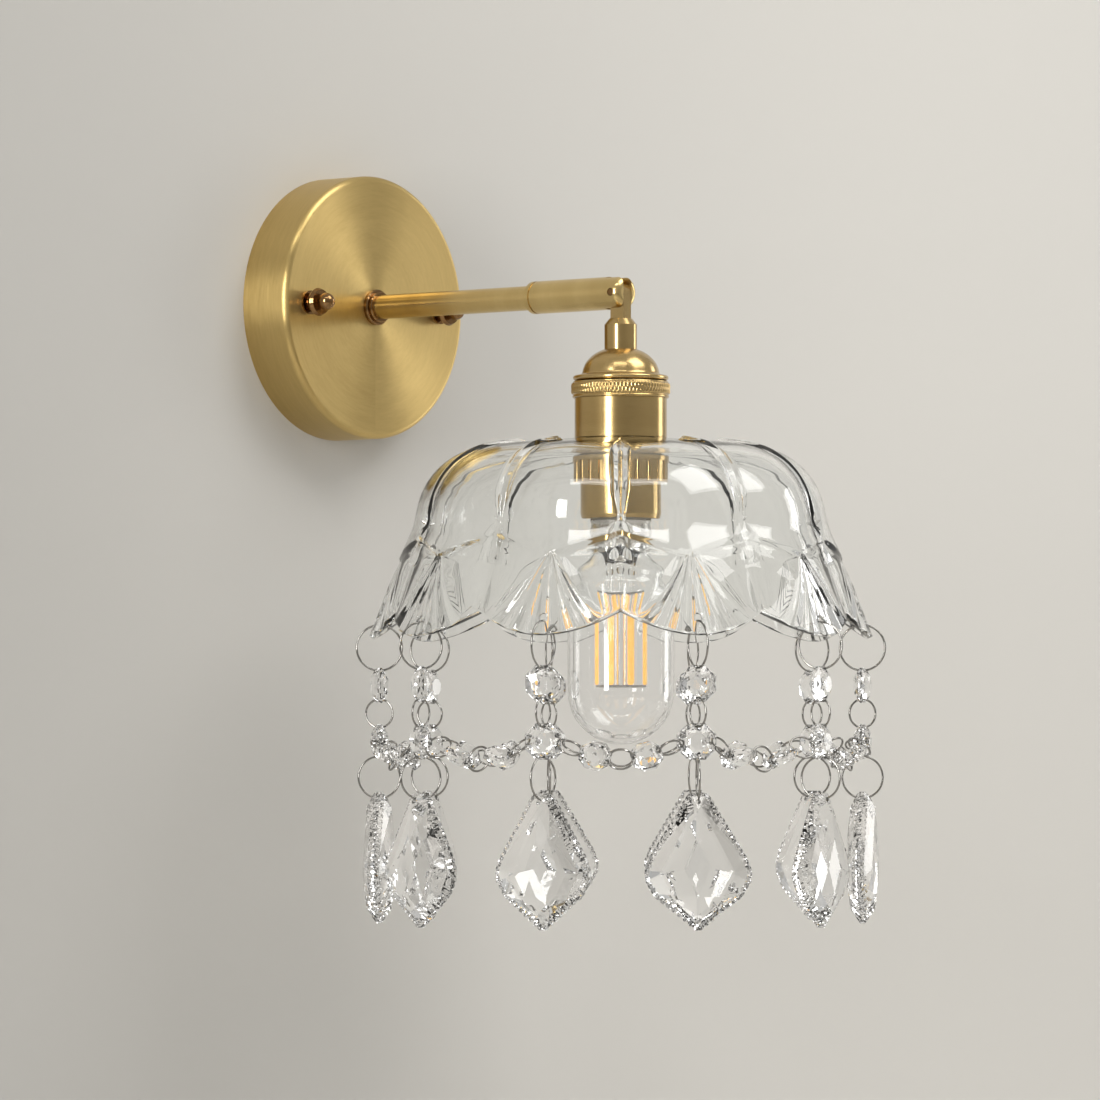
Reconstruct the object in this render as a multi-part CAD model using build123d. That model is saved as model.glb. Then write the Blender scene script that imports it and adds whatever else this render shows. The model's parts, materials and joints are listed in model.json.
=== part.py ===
from build123d import *
import os
from math import atan2, cos, degrees, pi, radians, sin, sqrt, tan

os.makedirs("parts", exist_ok=True)

# A wall lamp in millimetres. The wall is the plane y = 0, the arm runs out along -Y and Z is up.
# The origin is the middle of the mounting bracket's back, in line with the arm.

# ---- clearances and fits, used all over
thread_gap = 0.05          # between a screw and the part that it is screwed into
slip_gap = 0.10            # between pieces that are fitted by hand
hole_gap = 0.25            # round a screw that passes through a sheet
running_gap = 0.05         # pivot pin in the tongue
fork_side_gap = 0.20       # each side of the tongue in the fork
lamp_gap = 0.35            # lamp base in its screw shell

# ---- mounting bracket, a steel strip with joggled ends
bracket_thickness = 2.0
bracket_width = 20.0
bracket_joggle = 4.0       # height of the raised ends over the wall
bracket_end_length = 9.0   # strip beyond each stud
bracket_bend_run = 2.0
bracket_cable_hole_radius = 5.0
bracket_corner_radius = 3.0
wall_slot_spacing = 60.0
wall_slot_length = 8.0
wall_slot_width = 5.0
wall_slot_margin = 1.0     # from a slot to the bend
stud_to_bend = 5.0
bracket_foot = wall_slot_spacing + wall_slot_length + 2 * wall_slot_margin
stud_spacing = bracket_foot + 2 * (bracket_bend_run + stud_to_bend)

# ---- studs, nuts and the small electrical pieces on the bracket
stud_radius = 2.0
stud_head_radius = 3.6
stud_head_height = 2.4
stud_nut_across_flats = 7.0
stud_nut_height = 3.2
earth_screw_x = -15.0
earth_screw_radius = 2.0
earth_screw_length = 6.0
earth_head_radius = 3.8
earth_head_height = 2.6
block_x = 15.5
block_length = 15.0
block_width = 16.0
block_height = 11.0
block_way_count = 2
block_bore_radius = 1.9
block_screw_hole_radius = 1.5

# ---- backplate, a spun brass cup
plate_radius = 57.5
plate_depth = 25.0
plate_wall = 1.2
plate_edge_radius = 2.5

# ---- turned cap nuts on the studs
cap_washer_radius = 5.2
cap_washer_height = 1.2
cap_neck_radius = 3.4
cap_neck_height = 2.6
cap_flange_radius = 6.1
cap_flange_height = 3.0
cap_ball_radius = 3.8
cap_bore_depth = 9.0

# ---- arm
arm_reach = 165.5          # wall to the pivot
arm_radius = 5.25
arm_bore_radius = 3.6
arm_stub_radius = 4.8      # threaded end behind the backplate
arm_stub_length = 10.0
arm_grip_length = 14.0     # arm inside the sleeve
collar_radius = 7.8
collar_step_radius = 6.7
collar_height = 3.6
collar_flange_height = 2.0
lock_washer_radius = 8.5
lock_washer_thickness = 1.0
lock_nut_across_flats = 14.0
lock_nut_height = 4.0

# ---- sleeve with the fork
sleeve_radius = 7.0
sleeve_length = 52.6
sleeve_lip_length = 2.4
sleeve_groove_depth = 0.45
sleeve_groove_width = 0.8
fork_nose = 3.8            # sleeve beyond the pivot
fork_nose_radius = 3.0   # rounding of the tines
fork_slot_back = 6.0       # slot behind the pivot
pin_radius = 1.6
pin_inset = 0.15

# ---- tongue that hangs in the fork
tongue_thickness = 5.0
tongue_radius = 3.6
shoulder_drop = 11.0       # pivot to the top of the shoulder
shoulder_height = 2.6
stem_radius = 6.9
stem_bore_radius = 3.5
stem_end = 26.0            # pivot to the stem's lower end

# ---- lamp holder: heights are drops below the pivot
cap_top = 24.0
cap_dome_radius = 16.2
cap_dome_drop = 35.0
cap_ledge_radius = 20.3
cap_wall = 1.0
cap_skirt_drop = 41.0
ring_top = 37.6
ring_bottom = 44.7
ring_radius = 21.0
ring_notch_count = 44
ring_notch_depth = 0.55
ring_lip_height = 1.3
shell_radius = 19.5
shell_wall = 1.0
shell_bottom = 61.4
skirt_radius = 17.2
skirt_bottom = 97.0
core_top = 47.0
core_floor = 79.0          # underside of the web that holds the contact
screw_shell_wall = 0.6
contact_radius = 4.0
contact_thickness = 0.8

# ---- glass shade
panel_count = 10
shade_turn = 22.2          # direction of one panel's middle, from +X towards +Y
glass_wall = 4.0
glass_hole_gap = 0.6       # round the holder's skirt
shade_flat_radius = 56.0
shade_flat_fall = 3.2      # from the hole to the start of the shoulder
shade_shoulder_radius = 87.0
shade_shoulder_drop = 98.0
shade_waist_radius = 93.5
shade_waist_drop = 112.0
shade_rim_radius = 106.5
shade_rim_drop = 145.7
valley_pull = 0.962        # radius of a valley over that of a panel's middle
valley_rim_rise = 9.5      # the rim is this much higher at a valley
valley_dip = 20.0          # a valley's top lies lower by this times the share that it is pulled in
fan_flute_count = 7
fan_flute_depth = 1.3
fan_flute_share = 0.86     # of the room between two flutes
fan_flute_clear = 0.6      # the cutter of a flute starts this far outside the glass
shade_ring_radius = 20.75
shade_ring_height = 13.0
shade_ring_flange = 3.0
shade_ring_notch_count = 24

# ---- crystal strands
wire_radius = 0.45
wire_ring_sides = 12
wire_seat = 0.12           # between a ring and the edge of the hole that it rests in
glass_eye_margin = 6.2     # from the middle of the hole down to the level of the rim
glass_eye_radius = 1.7
glass_eye_reach = 30.0     # length of the drill that makes the hole
eye_radius = 1.25          # holes in the beads
hanger_ring_radius = 9.6
link_ring_radius = 6.0
bead_radius = 8.0
bead_table_radius = 4.4
bead_thickness = 7.0
bead_girdle = 1.6
bead_eye_offset = 5.6
swag_bead_radius = 7.0
swag_bead_table_radius = 3.9
swag_bead_thickness = 6.4
swag_bead_eye_offset = 4.9
swag_bead_slope = 14.0
swag_ring_slope = 24.0

# ---- pendants
pendant_ring_radius = 8.8
pendant_height = 56.0
pendant_half_width = 22.0
pendant_thickness = 13.0
pendant_girdle = 2.4
pendant_eye_drop = 3.4     # from the pendant's top to its hole

# ---- lamp: drops below the pivot
lamp_contact_drop = 81.0
lamp_contact_radius = 4.6
lamp_contact_height = 0.9
lamp_base_radius = 13.2
lamp_base_wall = 0.5
lamp_base_top = 84.5
lamp_base_bottom = 107.0
lamp_neck_radius = 11.6
lamp_bulb_radius = 22.5
lamp_shoulder_drop = 126.0
lamp_end_drop = 191.0
lamp_glass_wall = 0.9
lamp_neck_grip = 5.0
lamp_stem_radius = 2.2
filament_count = 8
filament_radius = 0.9
filament_circle_radius = 11.0
filament_top = 128.0
filament_bottom = 166.0
support_wire = 0.9

head = Pos(0, -arm_reach, 0)


# ---------------------------------------------------------------- helpers
def spun_on_arm(outline):
    """Turned piece on the arm's axis: outline points are (radius, distance from the wall)."""
    flipped = [(radius, -distance) for radius, distance in outline]
    return revolve(make_face(Polyline(*flipped, close=True)), Axis.Y)


def spun_on_lamp(outline):
    """Turned piece on the lamp's axis: outline points are (radius, drop below the pivot)."""
    points = [(radius, -drop) for radius, drop in outline]
    return head * revolve(make_face(Plane.XZ * Polyline(*points, close=True)), Axis.Z)


def along_arm(radius, start, end):
    """Round bar on the arm's axis from one distance to another, measured from the wall."""
    bar = Cylinder(radius, end - start, align=(Align.CENTER, Align.CENTER, Align.MIN))
    return Pos(0, -start, 0) * Rot(90, 0, 0) * bar


def hexagon_nut(across_flats, bore_radius, start, height):
    """Hexagon nut on an axis along Y, between two distances from the wall."""
    shape = RegularPolygon(across_flats / 2, 6, major_radius=False) - Circle(bore_radius)
    return Pos(0, -start, 0) * extrude(Plane.XZ * shape, height)


def at_studs(piece):
    """A piece drawn on the arm's axis, set at both studs."""
    return [Pos(side * stud_spacing / 2, 0, 0) * piece for side in (-1, 1)]


def union(pieces):
    """Separate solids as one group."""
    return Compound(children=[solid for piece in pieces for solid in piece.solids()])


# ---------------------------------------------------------------- wall fixture
plate_face = plate_depth
plate_inner_face = plate_depth - plate_wall
bracket_top = bracket_joggle + bracket_thickness


def mounting_bracket():
    foot = bracket_foot / 2
    rise = foot + bracket_bend_run
    end = stud_spacing / 2 + bracket_end_length
    back = [(-end, -bracket_joggle), (-rise, -bracket_joggle), (-foot, 0)]
    back += [(-x, y) for x, y in reversed(back)]
    front = [(x, y - bracket_thickness) for x, y in reversed(back)]
    strip = extrude(make_face(Polyline(*back, *front, close=True)), bracket_width / 2, both=True)
    corners = [edge for edge in strip.edges().filter_by(Axis.Y) if abs(edge.center().X) > rise]
    strip = fillet(corners, bracket_corner_radius)
    slot = SlotOverall(wall_slot_length, wall_slot_width)
    slots = [Pos(side * wall_slot_spacing / 2, 0, 0) * slot for side in (-1, 1)]
    cable_hole = Circle(bracket_cable_hole_radius)
    cuts = Sketch() + slots + cable_hole
    cuts += Pos(earth_screw_x, 0) * Circle(earth_screw_radius + thread_gap)
    cuts += [Pos(side * stud_spacing / 2, 0, 0) * Circle(stud_radius + thread_gap) for side in (-1, 1)]
    return strip - extrude(Plane.XZ * cuts, 2 * bracket_top, both=True)


def bracket_studs():
    head_start = bracket_joggle - stud_head_height
    stud_end = plate_face + cap_washer_height + cap_bore_depth - 1.0
    stud = spun_on_arm([
        (0, head_start), (stud_head_radius, head_start), (stud_head_radius, bracket_joggle),
        (stud_radius, bracket_joggle), (stud_radius, stud_end), (0, stud_end)])
    return union(at_studs(stud))


def stud_nuts():
    nut = hexagon_nut(stud_nut_across_flats, stud_radius + thread_gap, bracket_top, stud_nut_height)
    return union(at_studs(nut))


def earth_screw():
    shank = along_arm(earth_screw_radius, bracket_thickness / 4, earth_screw_length)
    top = along_arm(earth_head_radius, bracket_thickness, bracket_thickness + earth_head_height)
    slot = Box(2 * earth_head_radius, 1.4, 0.9)
    slot = Pos(0, -bracket_thickness - earth_head_height, 0) * slot
    return Pos(earth_screw_x, 0, 0) * (shank + top - slot)


def terminal_block():
    body = Box(block_length, block_height, block_width, align=(Align.CENTER, Align.MAX, Align.CENTER))
    body = Pos(block_x, -bracket_thickness, 0) * body
    pitch = block_width / block_way_count
    middle = -bracket_thickness - block_height / 2
    for way in range(block_way_count):
        z = (way + 0.5) * pitch - block_width / 2
        bore = Rot(0, 90, 0) * Cylinder(block_bore_radius, 2 * block_length)
        body -= Pos(block_x, middle, z) * bore
        for side in (-1, 1):
            screw_hole = along_arm(block_screw_hole_radius, -middle, 2 * block_height)
            body -= Pos(block_x + side * block_length / 4, 0, z) * screw_hole
    return body


def backplate():
    inner_radius = plate_radius - plate_wall
    cup = Polyline((0, -plate_face), (plate_radius, -plate_face), (plate_radius, 0),
                   (inner_radius, 0), (inner_radius, -plate_inner_face), (0, -plate_inner_face),
                   close=True)
    cup = make_face(cup)
    rounded = fillet(cup.vertices().sort_by(Axis.Y)[:2].sort_by(Axis.X)[-1:], plate_edge_radius)
    inner_corner = rounded.vertices().sort_by_distance((inner_radius, -plate_inner_face))[:1]
    rounded = fillet(inner_corner, max(plate_edge_radius - plate_wall, 0.1))
    plate = revolve(rounded, Axis.Y)
    plate -= along_arm(arm_stub_radius + slip_gap, 0, 2 * plate_depth)
    for hole in at_studs(along_arm(stud_radius + hole_gap, 0, 2 * plate_depth)):
        plate -= hole
    return plate


def cap_nuts():
    washer_end = plate_face + cap_washer_height
    neck_end = washer_end + cap_neck_height
    flange_end = neck_end + cap_flange_height
    ball_centre = flange_end + cap_ball_radius * 0.75
    bore = stud_radius + thread_gap
    bore_end = washer_end + cap_bore_depth
    rim = cap_flange_radius - cap_flange_height / 4
    middle = (neck_end + flange_end) / 2
    ball_root = (cap_ball_radius * cos(radians(35)), -ball_centre + cap_ball_radius * sin(radians(35)))
    ball_end = (0, -ball_centre - cap_ball_radius)
    turned_edge = Polyline(ball_end, (0, -bore_end), (bore, -bore_end), (bore, -plate_face),
                           (cap_washer_radius, -plate_face), (cap_washer_radius, -washer_end + 0.4),
                           (cap_neck_radius, -washer_end), (cap_neck_radius, -neck_end),
                           (rim, -neck_end), (cap_flange_radius, -middle), (rim, -flange_end),
                           (cap_neck_radius - 0.6, -flange_end), ball_root)
    ball = ThreePointArc(ball_root, (cap_ball_radius, -ball_centre), ball_end)
    nut = revolve(make_face(turned_edge + ball), Axis.Y)
    return union(at_studs(nut))


# ---------------------------------------------------------------- arm
sleeve_end = arm_reach + fork_nose
sleeve_start = sleeve_end - sleeve_length
arm_end = sleeve_start + arm_grip_length


def arm_collar():
    bore = arm_radius + slip_gap
    flange_end = plate_face + collar_flange_height
    return spun_on_arm([
        (bore, plate_face), (collar_radius, plate_face), (collar_radius, flange_end - 0.5),
        (collar_radius - 0.5, flange_end), (collar_step_radius, flange_end),
        (collar_step_radius, plate_face + collar_height - 0.4),
        (collar_step_radius - 0.4, plate_face + collar_height), (bore, plate_face + collar_height)])


def arm_tube():
    stub_start = plate_inner_face - arm_stub_length
    return spun_on_arm([
        (arm_bore_radius, stub_start), (arm_stub_radius, stub_start), (arm_stub_radius, plate_face),
        (arm_radius, plate_face), (arm_radius, arm_end), (arm_bore_radius, arm_end)])


def arm_lock_washer():
    inner = arm_stub_radius + slip_gap
    start = plate_inner_face - lock_washer_thickness
    return spun_on_arm([(inner, start), (lock_washer_radius, start),
                        (lock_washer_radius, plate_inner_face), (inner, plate_inner_face)])


def arm_lock_nut():
    start = plate_inner_face - lock_washer_thickness - lock_nut_height
    return hexagon_nut(lock_nut_across_flats, arm_stub_radius + thread_gap, start, lock_nut_height)


def arm_sleeve():
    lip = sleeve_start + sleeve_lip_length
    groove_end = lip + sleeve_groove_width
    body = Polyline((0, -sleeve_start), (sleeve_radius - 0.5, -sleeve_start),
                    (sleeve_radius, -sleeve_start - 0.5), (sleeve_radius, -lip),
                    (sleeve_radius - sleeve_groove_depth, -lip),
                    (sleeve_radius - sleeve_groove_depth, -groove_end),
                    (sleeve_radius, -groove_end), (sleeve_radius, -sleeve_end + fork_nose_radius))
    diagonal = fork_nose_radius * (1 - sqrt(0.5))
    nose = ThreePointArc((sleeve_radius, -sleeve_end + fork_nose_radius),
                         (sleeve_radius - diagonal, -sleeve_end + diagonal),
                         (sleeve_radius - fork_nose_radius, -sleeve_end))
    back = Polyline((sleeve_radius - fork_nose_radius, -sleeve_end), (0, -sleeve_end), (0, -sleeve_start))
    sleeve = revolve(make_face(body + nose + back), Axis.Y)
    slot_width = tongue_thickness + 2 * fork_side_gap
    slot_floor = arm_reach - fork_slot_back
    sleeve -= along_arm(arm_radius + thread_gap, 0, arm_end)
    sleeve -= along_arm(arm_bore_radius, 0, slot_floor + 1)
    slot = Box(slot_width, sleeve_length, 4 * sleeve_radius, align=(Align.CENTER, Align.MAX, Align.CENTER))
    sleeve -= Pos(0, -slot_floor, 0) * slot
    pin_hole = Rot(0, 90, 0) * Cylinder(pin_radius + running_gap, 4 * sleeve_radius)
    return sleeve - Pos(0, -arm_reach, 0) * pin_hole


def pivot_pin():
    pin = Rot(0, 90, 0) * Cylinder(pin_radius, 2 * (sleeve_radius - pin_inset))
    pin = chamfer(pin.edges(), 0.25)
    return Pos(0, -arm_reach, 0) * pin


# ---------------------------------------------------------------- lamp holder
def swivel_tongue():
    blade = Circle(tongue_radius)
    blade += Rectangle(2 * tongue_radius, shoulder_drop + 1, align=(Align.CENTER, Align.MAX))
    blade -= Circle(pin_radius + running_gap)
    tongue = extrude(Plane.YZ * blade, tongue_thickness / 2, both=True)
    cone_end = shoulder_drop + shoulder_height
    cone_top = stem_radius - shoulder_height * 0.8
    stem = revolve(make_face(Plane.XZ * Polyline(
        (0, -shoulder_drop), (cone_top, -shoulder_drop), (stem_radius, -cone_end),
        (stem_radius, -stem_end), (0, -stem_end), close=True)), Axis.Z)
    bore_top = cone_end + 1
    bore = Pos(0, 0, -bore_top) * Cylinder(stem_bore_radius, stem_end,
                                           align=(Align.CENTER, Align.CENTER, Align.MAX))
    return head * (tongue + stem - bore)


def dome_line(start_radius, start_drop, end_radius, end_drop):
    """Quarter-round dome between two (radius, drop) points, bulging up and out."""
    middle = ((start_radius + end_radius) / 2 + 0.24 * (end_radius - start_radius),
              -(start_drop + end_drop) / 2 + 0.24 * (end_drop - start_drop))
    return ThreePointArc((start_radius, -start_drop), middle, (end_radius, -end_drop))


def socket_cap():
    neck = stem_radius + slip_gap
    skirt = shell_radius - shell_wall - slip_gap
    outer = Line((neck, -cap_top), (neck + 1.2, -cap_top))
    outer += dome_line(neck + 1.2, cap_top, cap_dome_radius, cap_dome_drop)
    inner_dome_radius = cap_dome_radius - cap_wall
    rim = Polyline((cap_dome_radius, -cap_dome_drop), (cap_dome_radius + 0.8, -cap_dome_drop),
                   (cap_ledge_radius, -ring_top + 1.3), (cap_ledge_radius, -ring_top), (skirt, -ring_top),
                   (skirt, -cap_skirt_drop), (skirt - cap_wall, -cap_skirt_drop),
                   (skirt - cap_wall, -ring_top + 0.6), (inner_dome_radius, -cap_dome_drop - cap_wall))
    inner = dome_line(neck, cap_top + cap_wall * 1.2, inner_dome_radius, cap_dome_drop + cap_wall)
    side = Line((neck, -cap_top - cap_wall * 1.2), (neck, -cap_top))
    return head * revolve(make_face(Plane.XZ * (outer + rim + inner + side)), Axis.Z)


def knurled_ring():
    bore = shell_radius - shell_wall + slip_gap
    notch = Rot(0, 0, 45) * Rectangle(2 * ring_notch_depth, 2 * ring_notch_depth)
    shape = Circle(ring_radius) - PolarLocations(ring_radius, ring_notch_count) * notch
    shape -= Circle(bore)
    band_top = ring_top + slip_gap
    band_bottom = ring_bottom - ring_lip_height
    band = Pos(0, 0, -band_bottom) * extrude(shape, band_bottom - band_top)
    lip = Pos(0, 0, -ring_bottom) * extrude(Circle(ring_radius - 0.6) - Circle(bore), ring_lip_height)
    return head * (band + lip)


def socket_shell():
    bore = shell_radius - shell_wall
    skirt_bore = skirt_radius - shell_wall
    top = ring_bottom + slip_gap
    neck_top = ring_top + 4.0
    return spun_on_lamp([
        (bore, neck_top), (bore + slip_gap / 2, neck_top), (bore + slip_gap / 2, top),
        (shell_radius, top), (shell_radius, shell_bottom),
        (skirt_radius, shell_bottom), (skirt_radius, skirt_bottom - 2), (skirt_radius - 0.5, skirt_bottom),
        (skirt_bore, skirt_bottom), (skirt_bore, shell_bottom - 1), (bore - 1.2, shell_bottom - 2),
        (bore - 1.2, neck_top)])


screw_shell_bore = lamp_base_radius + lamp_gap
screw_shell_radius = screw_shell_bore + screw_shell_wall


def socket_insulator():
    """Ceramic core: a web over the lamp, a tube round the screw shell."""
    outer = skirt_radius - shell_wall - slip_gap
    cup = screw_shell_radius + slip_gap
    return spun_on_lamp([
        (0, core_top), (outer, core_top), (outer, skirt_bottom - 1), (cup, skirt_bottom - 1),
        (cup, core_floor), (0, core_floor)])


def screw_shell():
    web = core_floor + slip_gap
    return spun_on_lamp([
        (contact_radius + 2, web), (screw_shell_radius, web), (screw_shell_radius, skirt_bottom - 1.5),
        (screw_shell_bore, skirt_bottom - 1.5), (screw_shell_bore, web + screw_shell_wall),
        (contact_radius + 2, web + screw_shell_wall)])


def centre_contact():
    touch = lamp_contact_drop - lamp_gap / 2
    return spun_on_lamp([
        (0, core_floor), (contact_radius, core_floor), (contact_radius, core_floor + contact_thickness),
        (contact_radius / 2, touch), (0, touch)])


glass_hole_radius = skirt_radius + glass_hole_gap
glass_top = shell_bottom + slip_gap


def shade_ring():
    valley_flat_radius, valley_flat_drop, _ = meridian(valley_pull, valley_rim_rise)[1]
    fall = (valley_flat_drop - glass_top) / (valley_flat_radius - glass_hole_radius)
    top = glass_top + glass_wall + fall * (shade_ring_radius - glass_hole_radius) + slip_gap
    bore = skirt_radius + thread_gap
    ring = Circle(shade_ring_radius) - Circle(bore)
    flange = Pos(0, 0, -top - shade_ring_flange) * extrude(ring, shade_ring_flange)
    notch = Circle(1.0)
    grip = Circle(shade_ring_radius - 0.6) - Circle(bore)
    grip -= PolarLocations(shade_ring_radius - 0.6, shade_ring_notch_count) * notch
    grip_height = shade_ring_height - shade_ring_flange
    return head * (flange + Pos(0, 0, -top - shade_ring_height) * extrude(grip, grip_height))


# ---------------------------------------------------------------- glass shade
glass_eye_drop = shade_rim_drop - glass_eye_margin


def meridian(pull, rim_rise):
    """Section through the glass wall: five places on the outside as (radius, drop, slope of the
    outward normal), each with its partner on the inside one wall thickness below."""
    shoulder_tilt = degrees(atan2(shade_waist_radius - shade_shoulder_radius,
                                  shade_waist_drop - shade_shoulder_drop))
    flare_tilt = degrees(atan2(shade_rim_radius - shade_waist_radius, shade_rim_drop - shade_waist_drop))
    flat_drop = glass_top + shade_flat_fall
    middle_radius = shade_flat_radius + 0.73 * (shade_shoulder_radius - shade_flat_radius)
    middle_drop = flat_drop + 0.32 * (shade_shoulder_drop - flat_drop)
    rim_radius = shade_rim_radius - rim_rise * tan(radians(flare_tilt))
    waist_drop = shade_waist_drop - rim_rise * 0.25
    places = [(glass_hole_radius, glass_top, 90.0),
              (shade_flat_radius * (1 + pull) / 2, flat_drop + (1 - pull) * valley_dip, 85.0),
              (middle_radius * pull, middle_drop + (1 - pull) * valley_dip, 46.0),
              (shade_shoulder_radius * pull, shade_shoulder_drop, shoulder_tilt),
              (shade_waist_radius * pull, waist_drop, (shoulder_tilt + flare_tilt) / 2),
              (rim_radius * pull, shade_rim_drop - rim_rise, flare_tilt)]
    return places


def meridian_face(places, turn):
    """The section as a face, turned about the lamp axis."""
    outer = [(radius, -drop) for radius, drop, tilt in places]
    inner = [(radius - glass_wall * cos(radians(tilt)), -drop - glass_wall * sin(radians(tilt)))
             for radius, drop, tilt in places]
    inner[0] = (outer[0][0], inner[0][1])
    lines = Line(outer[0], outer[1]) + ThreePointArc(outer[1], outer[2], outer[3])
    lines += [Line(outer[3], outer[4]), Line(outer[4], outer[5]), Line(outer[5], inner[5])]
    lines += [Line(inner[5], inner[4]), Line(inner[4], inner[3])]
    lines += [ThreePointArc(inner[3], inner[2], inner[1]), Line(inner[1], inner[0])]
    lines += [Line(inner[0], outer[0])]
    return Rot(0, 0, turn) * make_face(Plane.XZ * lines)


def on_flare(across, along, out=0.0):
    """Point of the flared outside below the waist: across is -1 to 1 from valley to valley, along
    is 0 at the waist and 1 at the rim, out is a step off the surface."""
    half = radians(180 / panel_count)
    valley = meridian(valley_pull, valley_rim_rise)
    middle = meridian(1.0, 0.0)

    def crossing(place):
        radius_v, drop_v, tilt_v = valley[place]
        radius_m, drop_m, tilt_m = middle[place]
        radius_v, radius_m = radius_v + out, radius_m + out
        bend = 1 - across * across
        x = radius_v * cos(half) * (1 - bend) + radius_m * bend
        y = radius_v * sin(half) * across
        return Vector(x, y, -drop_v * (1 - bend) - drop_m * bend)

    return crossing(4) * (1 - along) + crossing(5) * along


def flute(index):
    """V-groove of the fan: a point at the fan's top that widens to the rim."""
    pitch = 2.0 / fan_flute_count
    middle = -1 + (index + 0.5) * pitch
    half = pitch / 2 * fan_flute_share
    sections = []
    for along, spread in ((0.06, 0.12), (1.03, 1.0)):
        depth = fan_flute_depth * spread
        corners = [on_flare((middle - half) * spread, along, fan_flute_clear * spread),
                   on_flare((middle + half) * spread, along, fan_flute_clear * spread),
                   on_flare(middle * spread, along, -depth)]
        sections.append(Face(Wire.make_polygon(corners, close=True)))
    return loft(sections, ruled=True)


def glass_shade():
    half = 180 / panel_count
    valley = meridian(valley_pull, valley_rim_rise)
    middle = meridian(1.0, 0.0)
    sector = loft([meridian_face(valley, -half), meridian_face(middle, 0), meridian_face(valley, half)])
    for index in range(fan_flute_count):
        sector -= flute(index)
    eye = Pos(strand_radius, 0, -glass_eye_drop) * Rot(0, 90, 0) * Cylinder(glass_eye_radius, glass_eye_reach)
    sector -= eye
    sectors = [Rot(0, 0, shade_turn + 360 / panel_count * k) * sector for k in range(panel_count)]
    shade = sectors[0].fuse(*sectors[1:])
    return head * shade


def eye_radius_of_glass():
    """Radius of the middle of the glass wall at the holes for the strands."""
    places = meridian(1.0, 0.0)
    (radius_a, drop_a, tilt_a), (radius_b, drop_b, tilt_b) = places[4], places[5]
    share = (glass_eye_drop - drop_a) / (drop_b - drop_a)
    return radius_a + share * (radius_b - radius_a) - glass_wall / 2 / cos(radians(tilt_b))


strand_radius = eye_radius_of_glass()


# ---------------------------------------------------------------- crystals
def thickness_at(offset, outer_radius, table_radius, thickness, girdle):
    """Thickness of a cut octagon at a distance from its middle towards a flat side."""
    flat = cos(pi / 8)
    share = (outer_radius * flat - offset) / ((outer_radius - table_radius) * flat)
    return girdle + min(max(share, 0), 1) * (thickness - girdle)


def seat_drop(hole_radius, hole_length, ring_radius_here):
    """How far a ring's wire lies from the middle of the hole that it hangs in, once it rests on
    the hole's edge: where the hole is longer than the ring's run, the ring's corners touch first."""
    run = (ring_radius_here - wire_radius) * tan(pi / wire_ring_sides)
    sag = max(hole_length / 2 - run, 0) * tan(2 * pi / wire_ring_sides)
    return hole_radius - wire_radius - sag - wire_seat


def octagon_bead(outer_radius, table_radius, thickness, eye_places):
    """Cut octagon with its face towards +X: two tables, a girdle, and holes at (y, z) places."""
    octagon = Rot(0, 0, 22.5) * RegularPolygon(outer_radius, 8)
    table = Rot(0, 0, 22.5) * RegularPolygon(table_radius, 8)
    half, girdle = thickness / 2, bead_girdle / 2
    faces = [Plane.YZ.offset(at) * shape for at, shape in
             ((-half, table), (-girdle, octagon), (girdle, octagon), (half, table))]
    bead = loft(faces, ruled=True)
    for y, z in eye_places:
        bead -= crystal_eye(y, z, thickness)
    return bead


def crystal_eye(y, z, thickness):
    """Hole through a crystal along X, six-sided, with a flat towards the crystal's edge."""
    turn = 0 if y == 0 else 30
    shape = Pos(y, z) * Rot(0, 0, turn) * RegularPolygon(eye_radius, 6, major_radius=False)
    return extrude(Plane.YZ * shape, thickness, both=True)


def wire_ring(radius):
    """Ring of wire in the XZ plane round the origin: straight runs, with one run across each hole."""
    turn = 180 / wire_ring_sides
    outside = RegularPolygon(radius + wire_radius, wire_ring_sides, major_radius=False)
    inside = RegularPolygon(radius - wire_radius, wire_ring_sides, major_radius=False)
    ring = Rot(0, 0, turn) * (outside - inside)
    return extrude(Plane.XZ * ring, wire_radius, both=True)


bead_hole_length = thickness_at(bead_eye_offset, bead_radius, bead_table_radius, bead_thickness, bead_girdle)
swag_hole_length = thickness_at(swag_bead_eye_offset, swag_bead_radius, swag_bead_table_radius,
                                swag_bead_thickness, bead_girdle)
hanger_drop = glass_eye_drop + hanger_ring_radius + seat_drop(glass_eye_radius, glass_wall, hanger_ring_radius)
upper_eye = hanger_drop + hanger_ring_radius + seat_drop(eye_radius, bead_hole_length, hanger_ring_radius)
upper_bead_drop = upper_eye + bead_eye_offset
link_top = upper_bead_drop + bead_eye_offset + seat_drop(eye_radius, bead_hole_length, link_ring_radius)
link_drop = link_top + link_ring_radius
junction_drop = (link_drop + link_ring_radius + seat_drop(eye_radius, bead_hole_length, link_ring_radius)
                 + bead_eye_offset)
pivot_drop = junction_drop + bead_eye_offset
pendant_ring_top = pivot_drop + seat_drop(eye_radius, bead_hole_length, pendant_ring_radius)
pendant_ring_drop = pendant_ring_top + pendant_ring_radius


def strand_angle(number):
    return shade_turn + 360 / panel_count * number


def at_strand(number, drop):
    """Place on a strand: X out from the lamp axis, Y round it, Z up."""
    return head * Rot(0, 0, strand_angle(number)) * Pos(strand_radius, 0, -drop)


def every_strand(piece, drop):
    return union([at_strand(number, drop) * piece for number in range(panel_count)])


def hanger_rings():
    return every_strand(wire_ring(hanger_ring_radius), hanger_drop)


def upper_beads():
    eyes = [(0, bead_eye_offset), (0, -bead_eye_offset)]
    bead = octagon_bead(bead_radius, bead_table_radius, bead_thickness, eyes)
    return every_strand(bead, upper_bead_drop)


def link_rings():
    return every_strand(wire_ring(link_ring_radius), link_drop)


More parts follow.
